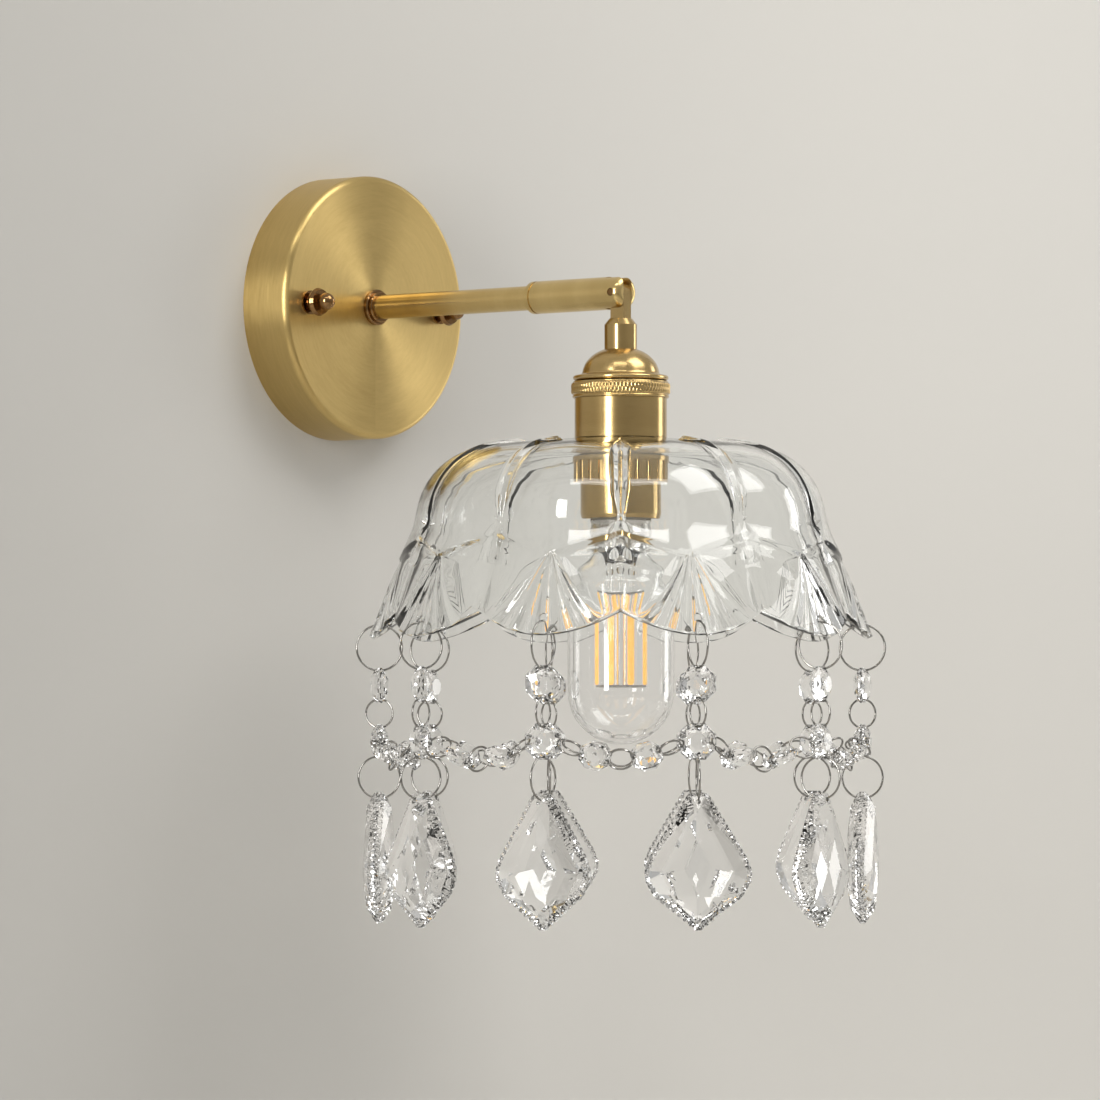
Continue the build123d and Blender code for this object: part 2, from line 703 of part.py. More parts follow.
def junction_beads():
    eyes = [(0, bead_eye_offset), (0, -bead_eye_offset), (bead_eye_offset, 0), (-bead_eye_offset, 0)]
    bead = octagon_bead(bead_radius, bead_table_radius, bead_thickness, eyes)
    return every_strand(bead, junction_drop)


def swag_layout():
    """Half a swag in its own plane: the swag runs along Y between two junction beads, X points away
    from the lamp axis and Z is up, with the middle ring round Y = 0. The ring radius follows from
    the room between two junction beads and from the two slopes."""
    half_angle = radians(180 / panel_count)
    start = strand_radius * sin(half_angle) - bead_eye_offset * cos(half_angle)
    slope_ring, slope_bead = radians(swag_ring_slope), radians(swag_bead_slope)
    bead_span = 2 * swag_bead_eye_offset
    radius = (start - bead_span * cos(slope_bead)) / (1 + 2 * cos(slope_ring))
    for step in range(3):
        tight = seat_drop(eye_radius, swag_hole_length, radius)
        end_tight = seat_drop(eye_radius, bead_hole_length, radius)
        used = tight + (tight + bead_span) * cos(slope_bead) + end_tight * cos(slope_ring)
        radius = (start - used) / (1 + 2 * cos(slope_ring))
    bead_start = radius + tight
    bead_middle = (bead_start + bead_span / 2 * cos(slope_bead), bead_span / 2 * sin(slope_bead))
    bead_end = (bead_start + bead_span * cos(slope_bead), bead_span * sin(slope_bead))
    reach = tight + radius
    ring_middle = (bead_end[0] + reach * cos(slope_ring), bead_end[1] + reach * sin(slope_ring))
    top = ring_middle[1] + (radius + end_tight) * sin(slope_ring)
    return radius, bead_middle, ring_middle, top


def swag_pieces():
    """Rings or beads of all the swags, as placed solids."""
    half_angle = 180 / panel_count
    radius, bead_middle, ring_middle, top = swag_layout()
    out = strand_radius * cos(radians(half_angle)) + bead_eye_offset * sin(radians(half_angle))
    rings, beads = [], []
    flat_ring = Rot(90, 0, 0) * wire_ring(radius)
    eyes = [(swag_bead_eye_offset, 0), (-swag_bead_eye_offset, 0)]
    bead = octagon_bead(swag_bead_radius, swag_bead_table_radius, swag_bead_thickness, eyes)
    for number in range(panel_count):
        place = head * Rot(0, 0, strand_angle(number) + half_angle) * Pos(out, 0, -junction_drop - top)
        rings.append(place * flat_ring)
        for side in (-1, 1):
            y, z = ring_middle
            rings.append(place * Pos(0, side * y, z) * Rot(side * swag_ring_slope, 0, 0) * flat_ring)
            y, z = bead_middle
            beads.append(place * Pos(0, side * y, z) * Rot(side * swag_bead_slope, 0, 0) * bead)
    return rings, beads


def pendant_shape():
    """Leaf-shaped pendant with its face towards +X and its top at the origin."""
    h, w = pendant_height, pendant_half_width
    half_outline = [(0.17, 0.0), (0.25, 0.035), (0.38, 0.13), (0.64, 0.29), (0.9, 0.46), (1.0, 0.56),
                    (0.98, 0.64), (0.82, 0.75), (0.5, 0.83), (0.26, 0.89), (0.08, 0.985)]
    half_table = [(0.04, 0.19), (0.08, 0.2), (0.12, 0.22), (0.3, 0.36), (0.46, 0.48), (0.54, 0.56),
                  (0.53, 0.6), (0.42, 0.67), (0.26, 0.74), (0.14, 0.8), (0.03, 0.86)]

    def ring(half):
        right = [(x * w, -z * h) for x, z in half]
        return Polyline(*right, *[(-x, z) for x, z in reversed(right)], close=True)

    outline, table = make_face(ring(half_outline)), make_face(ring(half_table))
    t, g = pendant_thickness / 2, pendant_girdle / 2
    faces = [Plane.YZ.offset(at) * shape for at, shape in
             ((-t, table), (-g, outline), (g, outline), (t, table))]
    crystal = loft(faces, ruled=True)
    return crystal - crystal_eye(0, -pendant_eye_drop, pendant_thickness)


def pendant_drop():
    """Drop of the pendant's top: its hole rests on the pendant ring's lowest wire."""
    hole = pendant_ring_drop + pendant_ring_radius
    hole += seat_drop(eye_radius, pendant_girdle * 1.8, pendant_ring_radius)
    return hole - pendant_eye_drop


# ---------------------------------------------------------------- lamp
def bulb_contact():
    """Centre contact on its glass insulator."""
    return spun_on_lamp([
        (0, lamp_contact_drop), (lamp_contact_radius, lamp_contact_drop),
        (lamp_contact_radius, lamp_contact_drop + lamp_contact_height),
        (lamp_base_radius - 3, lamp_base_top - slip_gap), (0, lamp_base_top - slip_gap)])


def bulb_base():
    """Screw base: a thin cup of rounded threads."""
    pitch, depth = 3.6, 0.7
    turns = 5
    top = lamp_base_top
    outer = [(lamp_base_radius - 2.5, top), (lamp_base_radius - depth, top + 1.5)]
    for turn in range(turns):
        start = top + 1.5 + turn * pitch
        outer += [(lamp_base_radius, start + pitch / 2), (lamp_base_radius - depth, start + pitch)]
    outer += [(lamp_base_radius, lamp_base_bottom - 1), (lamp_base_radius, lamp_base_bottom)]
    inner_radius = lamp_neck_radius + slip_gap
    inner = [(inner_radius, lamp_base_bottom), (inner_radius, top + 1.2), (lamp_base_radius - 3, top + 0.6),
             (0, top + 0.6), (0, top)]
    return spun_on_lamp(outer + inner)


def bulb_envelope():
    """Blown glass: neck, shoulder, straight side and round end, one wall thickness all over."""
    wall = lamp_glass_wall
    neck_top = lamp_base_bottom - lamp_neck_grip
    round_start = lamp_end_drop - lamp_bulb_radius

    def side(shrink):
        neck, body = lamp_neck_radius - shrink, lamp_bulb_radius - shrink
        neck_end = lamp_base_bottom + 1.0
        middle = ((neck + body) / 2, -(neck_end + lamp_shoulder_drop) / 2)
        quarter = body * sqrt(0.5)
        bend = Spline((neck, -neck_end), middle, (body, -lamp_shoulder_drop),
                      tangents=((0, -1), (0, -1)))
        line = Line((neck, -neck_top), (neck, -neck_end)) + bend
        line += Line((body, -lamp_shoulder_drop), (body, -round_start))
        return line + ThreePointArc((body, -round_start), (quarter, -round_start - quarter),
                                    (0, -round_start - body))

    outline = side(0) + side(wall) + Line((lamp_neck_radius, -neck_top), (lamp_neck_radius - wall, -neck_top))
    outline += Line((0, -lamp_end_drop), (0, -lamp_end_drop + wall))
    return head * revolve(make_face(Plane.XZ * outline), Axis.Z)


def bulb_stem():
    """Glass foot in the neck with a rod down to the support wires."""
    foot_top = lamp_base_bottom - lamp_neck_grip
    foot_radius = lamp_neck_radius - lamp_glass_wall - slip_gap
    return spun_on_lamp([
        (0, foot_top), (foot_radius, foot_top), (foot_radius, foot_top + 1.5),
        (lamp_stem_radius * 1.6, foot_top + 14), (lamp_stem_radius, foot_top + 17),
        (lamp_stem_radius, filament_bottom), (0, filament_bottom)])


filament_phase = 18.4


def led_filaments():
    length = filament_bottom - filament_top
    strip = Cylinder(filament_radius, length, align=(Align.CENTER, Align.CENTER, Align.MAX))
    strips = PolarLocations(filament_circle_radius, filament_count) * strip
    return union([head * Rot(0, 0, filament_phase) * Pos(0, 0, -filament_top) * strip for strip in strips])


def filament_support():
    """Wire frame: an eight-sided ring and spokes at each end of the filaments."""
    step = 360 / filament_count
    frames = []
    spoke_start = lamp_stem_radius + slip_gap
    length = filament_circle_radius - spoke_start
    for drop, inner in ((filament_top - support_wire, 1), (filament_bottom, 0)):
        ring = RegularPolygon(filament_circle_radius + support_wire / 2, filament_count)
        ring -= RegularPolygon(filament_circle_radius - support_wire / 2, filament_count)
        spoke = Pos(spoke_start + length / 2, 0) * Rectangle(length, support_wire)
        for k in range(0, filament_count, 2):
            ring += Rot(0, 0, k * step) * spoke
        ring += Circle(spoke_start + 0.6) - (Circle(spoke_start) if inner else Circle(0.01))
        frames.append(Pos(0, 0, -drop - support_wire) * extrude(ring, support_wire))
    return union([head * Rot(0, 0, filament_phase) * frame for frame in frames])


# ---------------------------------------------------------------- write every piece
def build_all():
    pieces = {
        "mounting_bracket": mounting_bracket(),
        "bracket_studs": bracket_studs(),
        "stud_nuts": stud_nuts(),
        "earth_screw": earth_screw(),
        "terminal_block": terminal_block(),
        "backplate": backplate(),
        "cap_nuts": cap_nuts(),
        "arm_collar": arm_collar(),
        "arm_tube": arm_tube(),
        "arm_lock_washer": arm_lock_washer(),
        "arm_lock_nut": arm_lock_nut(),
        "arm_sleeve": arm_sleeve(),
        "pivot_pin": pivot_pin(),
        "swivel_tongue": swivel_tongue(),
        "socket_cap": socket_cap(),
        "knurled_ring": knurled_ring(),
        "socket_shell": socket_shell(),
        "socket_insulator": socket_insulator(),
        "screw_shell": screw_shell(),
        "centre_contact": centre_contact(),
        "shade_ring": shade_ring(),
        "glass_shade": glass_shade(),
        "hanger_rings": hanger_rings(),
        "upper_beads": upper_beads(),
        "link_rings": link_rings(),
        "junction_beads": junction_beads(),
        "bulb_contact": bulb_contact(),
        "bulb_base": bulb_base(),
        "bulb_envelope": bulb_envelope(),
        "bulb_stem": bulb_stem(),
        "led_filaments": led_filaments(),
        "filament_support": filament_support(),
    }
    rings, beads = swag_pieces()
    pieces["swag_rings"] = union(rings)
    pieces["swag_beads"] = union(beads)
    crystal, ring = pendant_shape(), wire_ring(pendant_ring_radius)
    for number in range(panel_count):
        pieces[f"pendant_{number + 1:02d}"] = at_strand(number, pendant_drop()) * crystal
        pieces[f"pendant_ring_{number + 1:02d}"] = at_strand(number, pendant_ring_drop) * ring
    return pieces


for name, piece in build_all().items():
    export_step(piece, f"parts/{name}.step")
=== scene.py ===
import json
import math

import bmesh
import bpy
import numpy as np
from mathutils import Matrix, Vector


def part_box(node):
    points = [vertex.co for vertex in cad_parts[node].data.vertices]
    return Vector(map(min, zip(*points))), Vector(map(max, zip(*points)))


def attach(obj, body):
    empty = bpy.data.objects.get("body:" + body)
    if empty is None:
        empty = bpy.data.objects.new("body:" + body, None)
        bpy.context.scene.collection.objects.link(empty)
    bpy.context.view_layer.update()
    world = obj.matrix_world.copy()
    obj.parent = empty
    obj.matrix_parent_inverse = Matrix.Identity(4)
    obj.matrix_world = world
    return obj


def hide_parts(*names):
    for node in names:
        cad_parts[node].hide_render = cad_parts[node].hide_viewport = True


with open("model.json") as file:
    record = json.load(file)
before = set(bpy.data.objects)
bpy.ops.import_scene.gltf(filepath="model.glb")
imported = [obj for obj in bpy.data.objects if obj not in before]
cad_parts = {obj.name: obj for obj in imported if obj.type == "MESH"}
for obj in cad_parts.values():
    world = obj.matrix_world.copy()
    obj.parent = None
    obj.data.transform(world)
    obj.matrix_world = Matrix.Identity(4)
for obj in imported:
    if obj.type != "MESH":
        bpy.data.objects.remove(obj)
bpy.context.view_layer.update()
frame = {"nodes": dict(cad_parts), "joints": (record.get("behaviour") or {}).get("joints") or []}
print("stage: frame loaded")

# metres; the lamp axis is vertical through the pivot, strands are numbered as the pendants are
strandCount = 10
step = 2 * math.pi / strandCount
pivot = np.array(next(j["pos_m"] for j in frame["joints"] if j["name"] == "head_tilt"))


def boxCentre(node):
    low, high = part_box(node)
    return (np.array(low) + np.array(high)) / 2


firstRing = boxCentre("pendant_ring_01") - pivot
strandRadius = math.hypot(firstRing[0], firstRing[1])
firstStrand = math.atan2(firstRing[1], firstRing[0])
hangerHeight = boxCentre("hanger_rings")[2]
upperBeadHeight = boxCentre("upper_beads")[2]
linkHeight = boxCentre("link_rings")[2]
junctionHeight = boxCentre("junction_beads")[2]
pendantRingHeight = boxCentre("pendant_ring_01")[2]
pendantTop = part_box("pendant_01")[1][2]


# mesh helpers
def turnZ(angle):
    c, s = math.cos(angle), math.sin(angle)
    return np.array([[c, -s, 0], [s, c, 0], [0, 0, 1]])


def turnX(angle):
    c, s = math.cos(angle), math.sin(angle)
    return np.array([[1, 0, 0], [0, c, -s], [0, s, c]])


def turnY(angle):
    c, s = math.cos(angle), math.sin(angle)
    return np.array([[c, 0, s], [0, 1, 0], [-s, 0, c]])


# Quads of a grid of points, row after row; a closed direction joins its last line to its first.
def gridFaces(rows, columns, closeRows=False, closeColumns=False):
    i = np.arange(rows if closeRows else rows - 1)[:, None]
    j = np.arange(columns if closeColumns else columns - 1)[None, :]
    nextI, nextJ = (i + 1) % rows, (j + 1) % columns
    quads = [i * columns + j, i * columns + nextJ, nextI * columns + nextJ, nextI * columns + j]
    return np.stack([np.broadcast_to(q, (i.shape[0], j.shape[1])) for q in quads], -1).reshape(-1, 4)


def meshObject(name, points, faces, smooth=True):
    mesh = bpy.data.meshes.new(name)
    mesh.from_pydata(np.asarray(points, float), [], faces.tolist() if hasattr(faces, "tolist") else faces)
    mesh.polygons.foreach_set("use_smooth", np.full(len(mesh.polygons), smooth))
    mesh.update()
    item = bpy.data.objects.new(name, mesh)
    bpy.context.collection.objects.link(item)
    return item


# Points from distances to the lamp axis, angles round it and heights above the pivot.
def aroundAxis(radius, angle, height):
    radius, angle, height = np.broadcast_arrays(radius, angle, height)
    return np.stack([radius * np.cos(angle), radius * np.sin(angle), height], -1) + pivot


# Points and faces of an object, as arrays and lists that copies are made from.
def meshData(item):
    points = np.empty(len(item.data.vertices) * 3)
    item.data.vertices.foreach_get("co", points)
    return points.reshape(-1, 3), [list(p.vertices) for p in item.data.polygons]


# One object that holds a copy of the template at each (3x3 turn, shift).
def manyCopies(name, template, places, smooth=False):
    points, faces = template
    allPoints = [points @ turn.T + shift for turn, shift in places]
    allFaces = [[v + k * len(points) for v in face] for k in range(len(places)) for face in faces]
    return meshObject(name, np.concatenate(allPoints), allFaces, smooth)


# Faceted solid: the convex hull of a few corner points, flat facets merged.
def hullObject(name, points):
    bm = bmesh.new()
    for point in points:
        bm.verts.new(point)
    bmesh.ops.convex_hull(bm, input=bm.verts)
    loose = [v for v in bm.verts if not v.link_faces]
    bmesh.ops.delete(bm, geom=loose, context="VERTS")
    bmesh.ops.dissolve_limit(bm, angle_limit=0.02, verts=bm.verts, edges=bm.edges)
    bmesh.ops.recalc_face_normals(bm, faces=bm.faces)
    mesh = bpy.data.meshes.new(name)
    bm.to_mesh(mesh)
    bm.free()
    item = bpy.data.objects.new(name, mesh)
    bpy.context.collection.objects.link(item)
    return item


# Cutter: round rods, each (centre, direction, radius, half length).
def rods(name, places, sides=12):
    angle = np.arange(sides) * 2 * math.pi / sides
    points, faces = [], []
    for centre, direction, radius, half in places:
        frameZ = Vector(direction).normalized().to_track_quat("Z", "Y").to_matrix()
        ring = np.stack([radius * np.cos(angle), radius * np.sin(angle), np.zeros(sides)], 1)
        both = np.concatenate([ring - [0, 0, half], ring + [0, 0, half]]) @ np.array(frameZ).T
        base = len(points) * 2 * sides
        points.append(both + np.array(centre))
        faces += (gridFaces(2, sides, closeColumns=True) + base).tolist()
        faces += [list(range(base + sides - 1, base - 1, -1)), list(range(base + sides, base + 2 * sides))]
    return meshObject(name, np.concatenate(points), faces, False)


# Takes the cutter's solids out of the item and deletes the cutter.
def cut(item, cutter):
    change = item.modifiers.new("holes", "BOOLEAN")
    change.operation = "DIFFERENCE"
    change.solver = "MANIFOLD"
    change.object = cutter
    depsgraph = bpy.context.evaluated_depsgraph_get()
    result = bpy.data.meshes.new_from_object(item.evaluated_get(depsgraph))
    item.modifiers.clear()
    item.data = result
    bpy.data.objects.remove(cutter)


# materials
def newMaterial(name):
    material = bpy.data.materials.new(name)
    material.use_nodes = True
    shader = material.node_tree.nodes["Principled BSDF"]
    return material, material.node_tree, shader


def link(tree, a, outlet, b, inlet):
    tree.links.new(a.outputs[outlet], b.inputs[inlet])


def node(tree, kind, **values):
    item = tree.nodes.new(kind)
    for key, value in values.items():
        if key in item.inputs:
            item.inputs[key].default_value = value
        else:
            setattr(item, key, value)
    return item


# Fine lines that run round an axis: noise read on stretched coordinates, as a mask and a normal.
def brushedGroup():
    group = bpy.data.node_groups.new("brushedLines", "ShaderNodeTree")
    face = group.interface
    face.new_socket("Vector", in_out="INPUT", socket_type="NodeSocketVector")
    face.new_socket("Strength", in_out="INPUT", socket_type="NodeSocketFloat").default_value = 0.1
    face.new_socket("Lines", in_out="OUTPUT", socket_type="NodeSocketFloat")
    face.new_socket("Cloud", in_out="OUTPUT", socket_type="NodeSocketFloat")
    face.new_socket("Normal", in_out="OUTPUT", socket_type="NodeSocketVector")
    inside, outside = group.nodes.new("NodeGroupInput"), group.nodes.new("NodeGroupOutput")
    lines = node(group, "ShaderNodeTexNoise", Scale=1.0, Detail=4.0, Roughness=0.7)
    cloud = node(group, "ShaderNodeTexNoise", Scale=0.02, Detail=3.0, Roughness=0.6)
    bump = node(group, "ShaderNodeBump", Distance=0.00002)
    link(group, inside, "Vector", lines, "Vector")
    link(group, inside, "Vector", cloud, "Vector")
    link(group, inside, "Strength", bump, "Strength")
    link(group, lines, "Fac", bump, "Height")
    link(group, lines, "Fac", outside, "Lines")
    link(group, cloud, "Fac", outside, "Cloud")
    link(group, bump, "Normal", outside, "Normal")
    return group


brushedLines = brushedGroup()


# Vector for lines round an axis: distance from it and place along it times lineScale, and the angle
# times runScale.
def roundAxisVector(tree, axis, lineScale, runScale):
    coordinates = node(tree, "ShaderNodeTexCoord")
    shifted = node(tree, "ShaderNodeVectorMath", operation="SUBTRACT")
    shifted.inputs[1].default_value = (0, 0, 0) if axis == "Y" else tuple(pivot)
    parts = node(tree, "ShaderNodeSeparateXYZ")
    link(tree, coordinates, "Object", shifted, 0)
    link(tree, shifted, "Vector", parts, "Vector")
    a, b, along = ("X", "Z", "Y") if axis == "Y" else ("X", "Y", "Z")
    angle = node(tree, "ShaderNodeMath", operation="ARCTAN2")
    link(tree, parts, a, angle, 0)
    link(tree, parts, b, angle, 1)
    squares = []
    for part in (a, b):
        square = node(tree, "ShaderNodeMath", operation="MULTIPLY")
        link(tree, parts, part, square, 0)
        link(tree, parts, part, square, 1)
        squares.append(square)
    total = node(tree, "ShaderNodeMath", operation="ADD")
    link(tree, squares[0], "Value", total, 0)
    link(tree, squares[1], "Value", total, 1)
    radius = node(tree, "ShaderNodeMath", operation="SQRT")
    link(tree, total, "Value", radius, 0)
    scaled = []
    sources = ((radius, "Value", lineScale), (parts, along, lineScale), (angle, "Value", runScale))
    for source, outlet, factor in sources:
        times = node(tree, "ShaderNodeMath", operation="MULTIPLY")
        link(tree, source, outlet, times, 0)
        times.inputs[1].default_value = factor
        scaled.append(times)
    joined = node(tree, "ShaderNodeCombineXYZ")
    for source, inlet in zip(scaled, ("X", "Y", "Z")):
        link(tree, source, "Value", joined, inlet)
    return joined


# Brass turned or spun round an axis: lines from the tool, a little patina in clouds.
def brass(name, axis, colours, roughness, lineScale, runScale, strength, anisotropy):
    material, tree, shader = newMaterial(name)
    shader.inputs["Metallic"].default_value = 1.0
    shader.inputs["Anisotropic"].default_value = anisotropy
    shader.inputs["Anisotropic Rotation"].default_value = 0.25
    vector = roundAxisVector(tree, axis, lineScale, runScale)
    lines = node(tree, "ShaderNodeGroup", node_tree=brushedLines, Strength=strength)
    link(tree, vector, "Vector", lines, "Vector")
    ramp = node(tree, "ShaderNodeValToRGB")
    ramp.color_ramp.elements[0].position, ramp.color_ramp.elements[1].position = 0.3, 0.7
    ramp.color_ramp.elements[0].color = (*colours[0], 1)
    ramp.color_ramp.elements[1].color = (*colours[1], 1)
    tone = node(tree, "ShaderNodeMix", data_type="FLOAT")
    tone.inputs[0].default_value = 0.35
    link(tree, lines, "Cloud", tone, 2)
    link(tree, lines, "Lines", tone, 3)
    link(tree, tone, 0, ramp, "Fac")
    link(tree, ramp, "Color", shader, "Base Color")
    spread = node(tree, "ShaderNodeMapRange")
    spread.inputs["To Min"].default_value = roughness[0]
    spread.inputs["To Max"].default_value = roughness[1]
    link(tree, lines, "Lines", spread, "Value")
    link(tree, spread, "Result", shader, "Roughness")
    link(tree, lines, "Normal", shader, "Normal")
    tangent = node(tree, "ShaderNodeTangent", direction_type="RADIAL", axis=axis)
    link(tree, tangent, "Tangent", shader, "Tangent")
    return material


def clearGlass(name, ior, tint=(1.0, 1.0, 1.0), bump=0.0, bumpScale=60.0):
    material, tree, shader = newMaterial(name)
    shader.inputs["Base Color"].default_value = (*tint, 1)
    shader.inputs["Roughness"].default_value = 0.0
    shader.inputs["IOR"].default_value = ior
    shader.inputs["Transmission Weight"].default_value = 1.0
    if bump:
        coordinates = node(tree, "ShaderNodeTexCoord")
        waves = node(tree, "ShaderNodeTexNoise", Scale=bumpScale, Detail=1.5)
        relief = node(tree, "ShaderNodeBump", Strength=bump, Distance=0.001)
        link(tree, coordinates, "Object", waves, "Vector")
        link(tree, waves, "Fac", relief, "Height")
        link(tree, relief, "Normal", shader, "Normal")
    return material


# Plain material with a fine speckle in tone and gloss: cast, plated or moulded surfaces.
def specked(name, colour, metallic, roughness, speckScale=900.0, change=0.12):
    material, tree, shader = newMaterial(name)
    shader.inputs["Metallic"].default_value = metallic
    coordinates = node(tree, "ShaderNodeTexCoord")
    specks = node(tree, "ShaderNodeTexNoise", Scale=speckScale, Detail=3.0)
    link(tree, coordinates, "Object", specks, "Vector")
    ramp = node(tree, "ShaderNodeValToRGB")
    ramp.color_ramp.elements[0].color = (*[c * (1 - change) for c in colour], 1)
    ramp.color_ramp.elements[1].color = (*colour, 1)
    link(tree, specks, "Fac", ramp, "Fac")
    link(tree, ramp, "Color", shader, "Base Color")
    spread = node(tree, "ShaderNodeMapRange")
    spread.inputs["To Min"].default_value = roughness * 0.8
    spread.inputs["To Max"].default_value = roughness * 1.2
    link(tree, specks, "Fac", spread, "Value")
    link(tree, spread, "Result", shader, "Roughness")
    return material


# darker and lighter tone of each brass
brassTones = dict(plate=((0.45, 0.315, 0.112), (0.64, 0.47, 0.19)),
                  satin=((0.44, 0.30, 0.12), (0.58, 0.42, 0.19)),
                  arm=((0.55, 0.40, 0.165), (0.74, 0.56, 0.25)),
                  polished=((0.19, 0.10, 0.04), (0.30, 0.175, 0.075)))
plateBrass = brass("plateBrass", "Y", brassTones["plate"], roughness=(0.28, 0.42),
                   lineScale=900.0, runScale=5.0, strength=0.8, anisotropy=0.85)
armBrass = brass("armBrass", "Y", brassTones["arm"], roughness=(0.20, 0.28),
                 lineScale=5000.0, runScale=3.0, strength=0.12, anisotropy=0.7)
holderBrass = brass("holderBrass", "Z", brassTones["satin"], roughness=(0.19, 0.28),
                    lineScale=3500.0, runScale=3.0, strength=0.2, anisotropy=0.6)
# painted shade: the nut, collar and pin brass is made dark, standing in for the dark surroundings that its
# polished faces reflect
shadedNutBrass = brass("shadedNutBrass", "Y", brassTones["polished"], roughness=(0.10, 0.19),
                 lineScale=4000.0, runScale=3.0, strength=0.15, anisotropy=0.1)
innerBrass = brass("innerBrass", "Z", brassTones["satin"], roughness=(0.2, 0.3),
                   lineScale=5000.0, runScale=3.0, strength=0.2, anisotropy=0.2)
steelPlated = specked("steelPlated", (0.55, 0.55, 0.54), metallic=1.0, roughness=0.34)
glazedWhite = specked("glazedWhite", (0.80, 0.79, 0.74), metallic=0.0, roughness=0.25,
                      speckScale=300.0, change=0.05)
blackGlass = specked("blackGlass", (0.02, 0.018, 0.02), metallic=0.0, roughness=0.2)
nickelBase = specked("nickelBase", (0.62, 0.60, 0.56), metallic=1.0, roughness=0.26)
ringWire = specked("ringWire", (0.38, 0.37, 0.35), metallic=1.0, roughness=0.11,
                   speckScale=1500.0, change=0.4)
shadeGlass = clearGlass("shadeGlass", ior=1.48, tint=(0.985, 0.995, 0.992), bump=0.07, bumpScale=48.0)
crystalGlass = clearGlass("crystalGlass", ior=1.58, tint=(0.995, 0.997, 1.0))
bulbGlass = clearGlass("bulbGlass", ior=1.45)


# Phosphor coat of the unlit filaments: amber and soft, with a painted glow: the same colour is also set as
# a weak emission, though the bulb is not lit.
def amberStripPaintedGlow():
    material, tree, shader = newMaterial("amberStripPaintedGlow")
    coordinates = node(tree, "ShaderNodeTexCoord")
    bands = node(tree, "ShaderNodeTexNoise", Scale=260.0, Detail=2.0)
    ramp = node(tree, "ShaderNodeValToRGB")
    ramp.color_ramp.elements[0].color = (0.95, 0.50, 0.10, 1)
    ramp.color_ramp.elements[1].color = (1.0, 0.66, 0.24, 1)
    link(tree, coordinates, "Object", bands, "Vector")
    link(tree, bands, "Fac", ramp, "Fac")
    link(tree, ramp, "Color", shader, "Base Color")
    # painted glow: the amber colour also drives the emission of the unlit strip
    link(tree, ramp, "Color", shader, "Emission Color")
    shader.inputs["Emission Strength"].default_value = 0.6
    shader.inputs["Roughness"].default_value = 0.45
    return material


filamentPaintedGlow = amberStripPaintedGlow()

# pieces that keep their CAD mesh
nodeMaterials = dict(
    mounting_bracket=steelPlated, bracket_studs=steelPlated, stud_nuts=steelPlated,
    earth_screw=steelPlated, arm_lock_washer=steelPlated, arm_lock_nut=steelPlated,
    terminal_block=glazedWhite, socket_insulator=glazedWhite, backplate=plateBrass,
    arm_tube=armBrass, arm_sleeve=armBrass, cap_nuts=shadedNutBrass, arm_collar=shadedNutBrass, pivot_pin=shadedNutBrass,
    swivel_tongue=holderBrass, socket_shell=holderBrass, shade_ring=holderBrass,
    screw_shell=innerBrass, centre_contact=innerBrass, bulb_contact=blackGlass, bulb_base=nickelBase,
    filament_support=nickelBase, bulb_envelope=bulbGlass, bulb_stem=bulbGlass)


def paint(item, material):
    item.data.materials.clear()
    item.data.materials.append(material)


for name, material in nodeMaterials.items():
    paint(frame["nodes"][name], material)
print("stage: materials")

# glass shade: ten panels, each a smooth shoulder over a fan of flutes; radii from the lamp axis,
# drops below the pivot, tilts in degrees, shares from 0 to 1; the valley values draw in and lift the
# lines between the panels, and rows and columns count the grid's lines
shade = dict(
    holeRadius=0.0178, flatRadius=0.056, shoulderRadius=0.087, waistRadius=0.0935, rimRadius=0.1065,
    topDrop=0.0615, flatFall=0.0032, shoulderDrop=0.098, waistDrop=0.112, rimDrop=0.1457,
    arcRadiusShare=0.73, arcDropShare=0.32, topTilt=87.0, arcTilt=85.0, wall=0.0026,
    valleyPull=0.962, valleyRise=0.0095, valleyFall=0.02, waistRise=0.25,
    flutes=5, fluteDepth=0.0018, fluteStart=0.1, fluteGrowth=1.15, fluteShape=0.8,
    fanShare=0.74, apexSpread=0.05, rimSpread=0.78, leafDepth=0.0010,
    stepDepth=0.0009, stepVee=0.45, stepSharpness=22, stepFade=3,
    ribHeight=0.0021, ribWidth=0.0034, ribTop=0.064, ribEnd=0.099,
    ribStops=(0, 0.12, 0.65, 1), ribShape=(0, 1, 0.9, 0),
    kiteTop=0.0985, kiteMiddle=0.106, kiteEnd=0.115, kiteWidth=0.0042,
    eyeDrop=0.1395, eyeRadius=0.0017, eyeReach=0.012, eyeSides=20,
    rippleDepth=0.00002, ripplePitch=0.0055, rippleBend=2, rippleDrops=(0.066, 0.074, 0.1, 0.106),
    topRows=12, arcRows=36, stepRows=20, fanRows=32, columnsPerPanel=48, columnBias=1.15, smoothing=24)


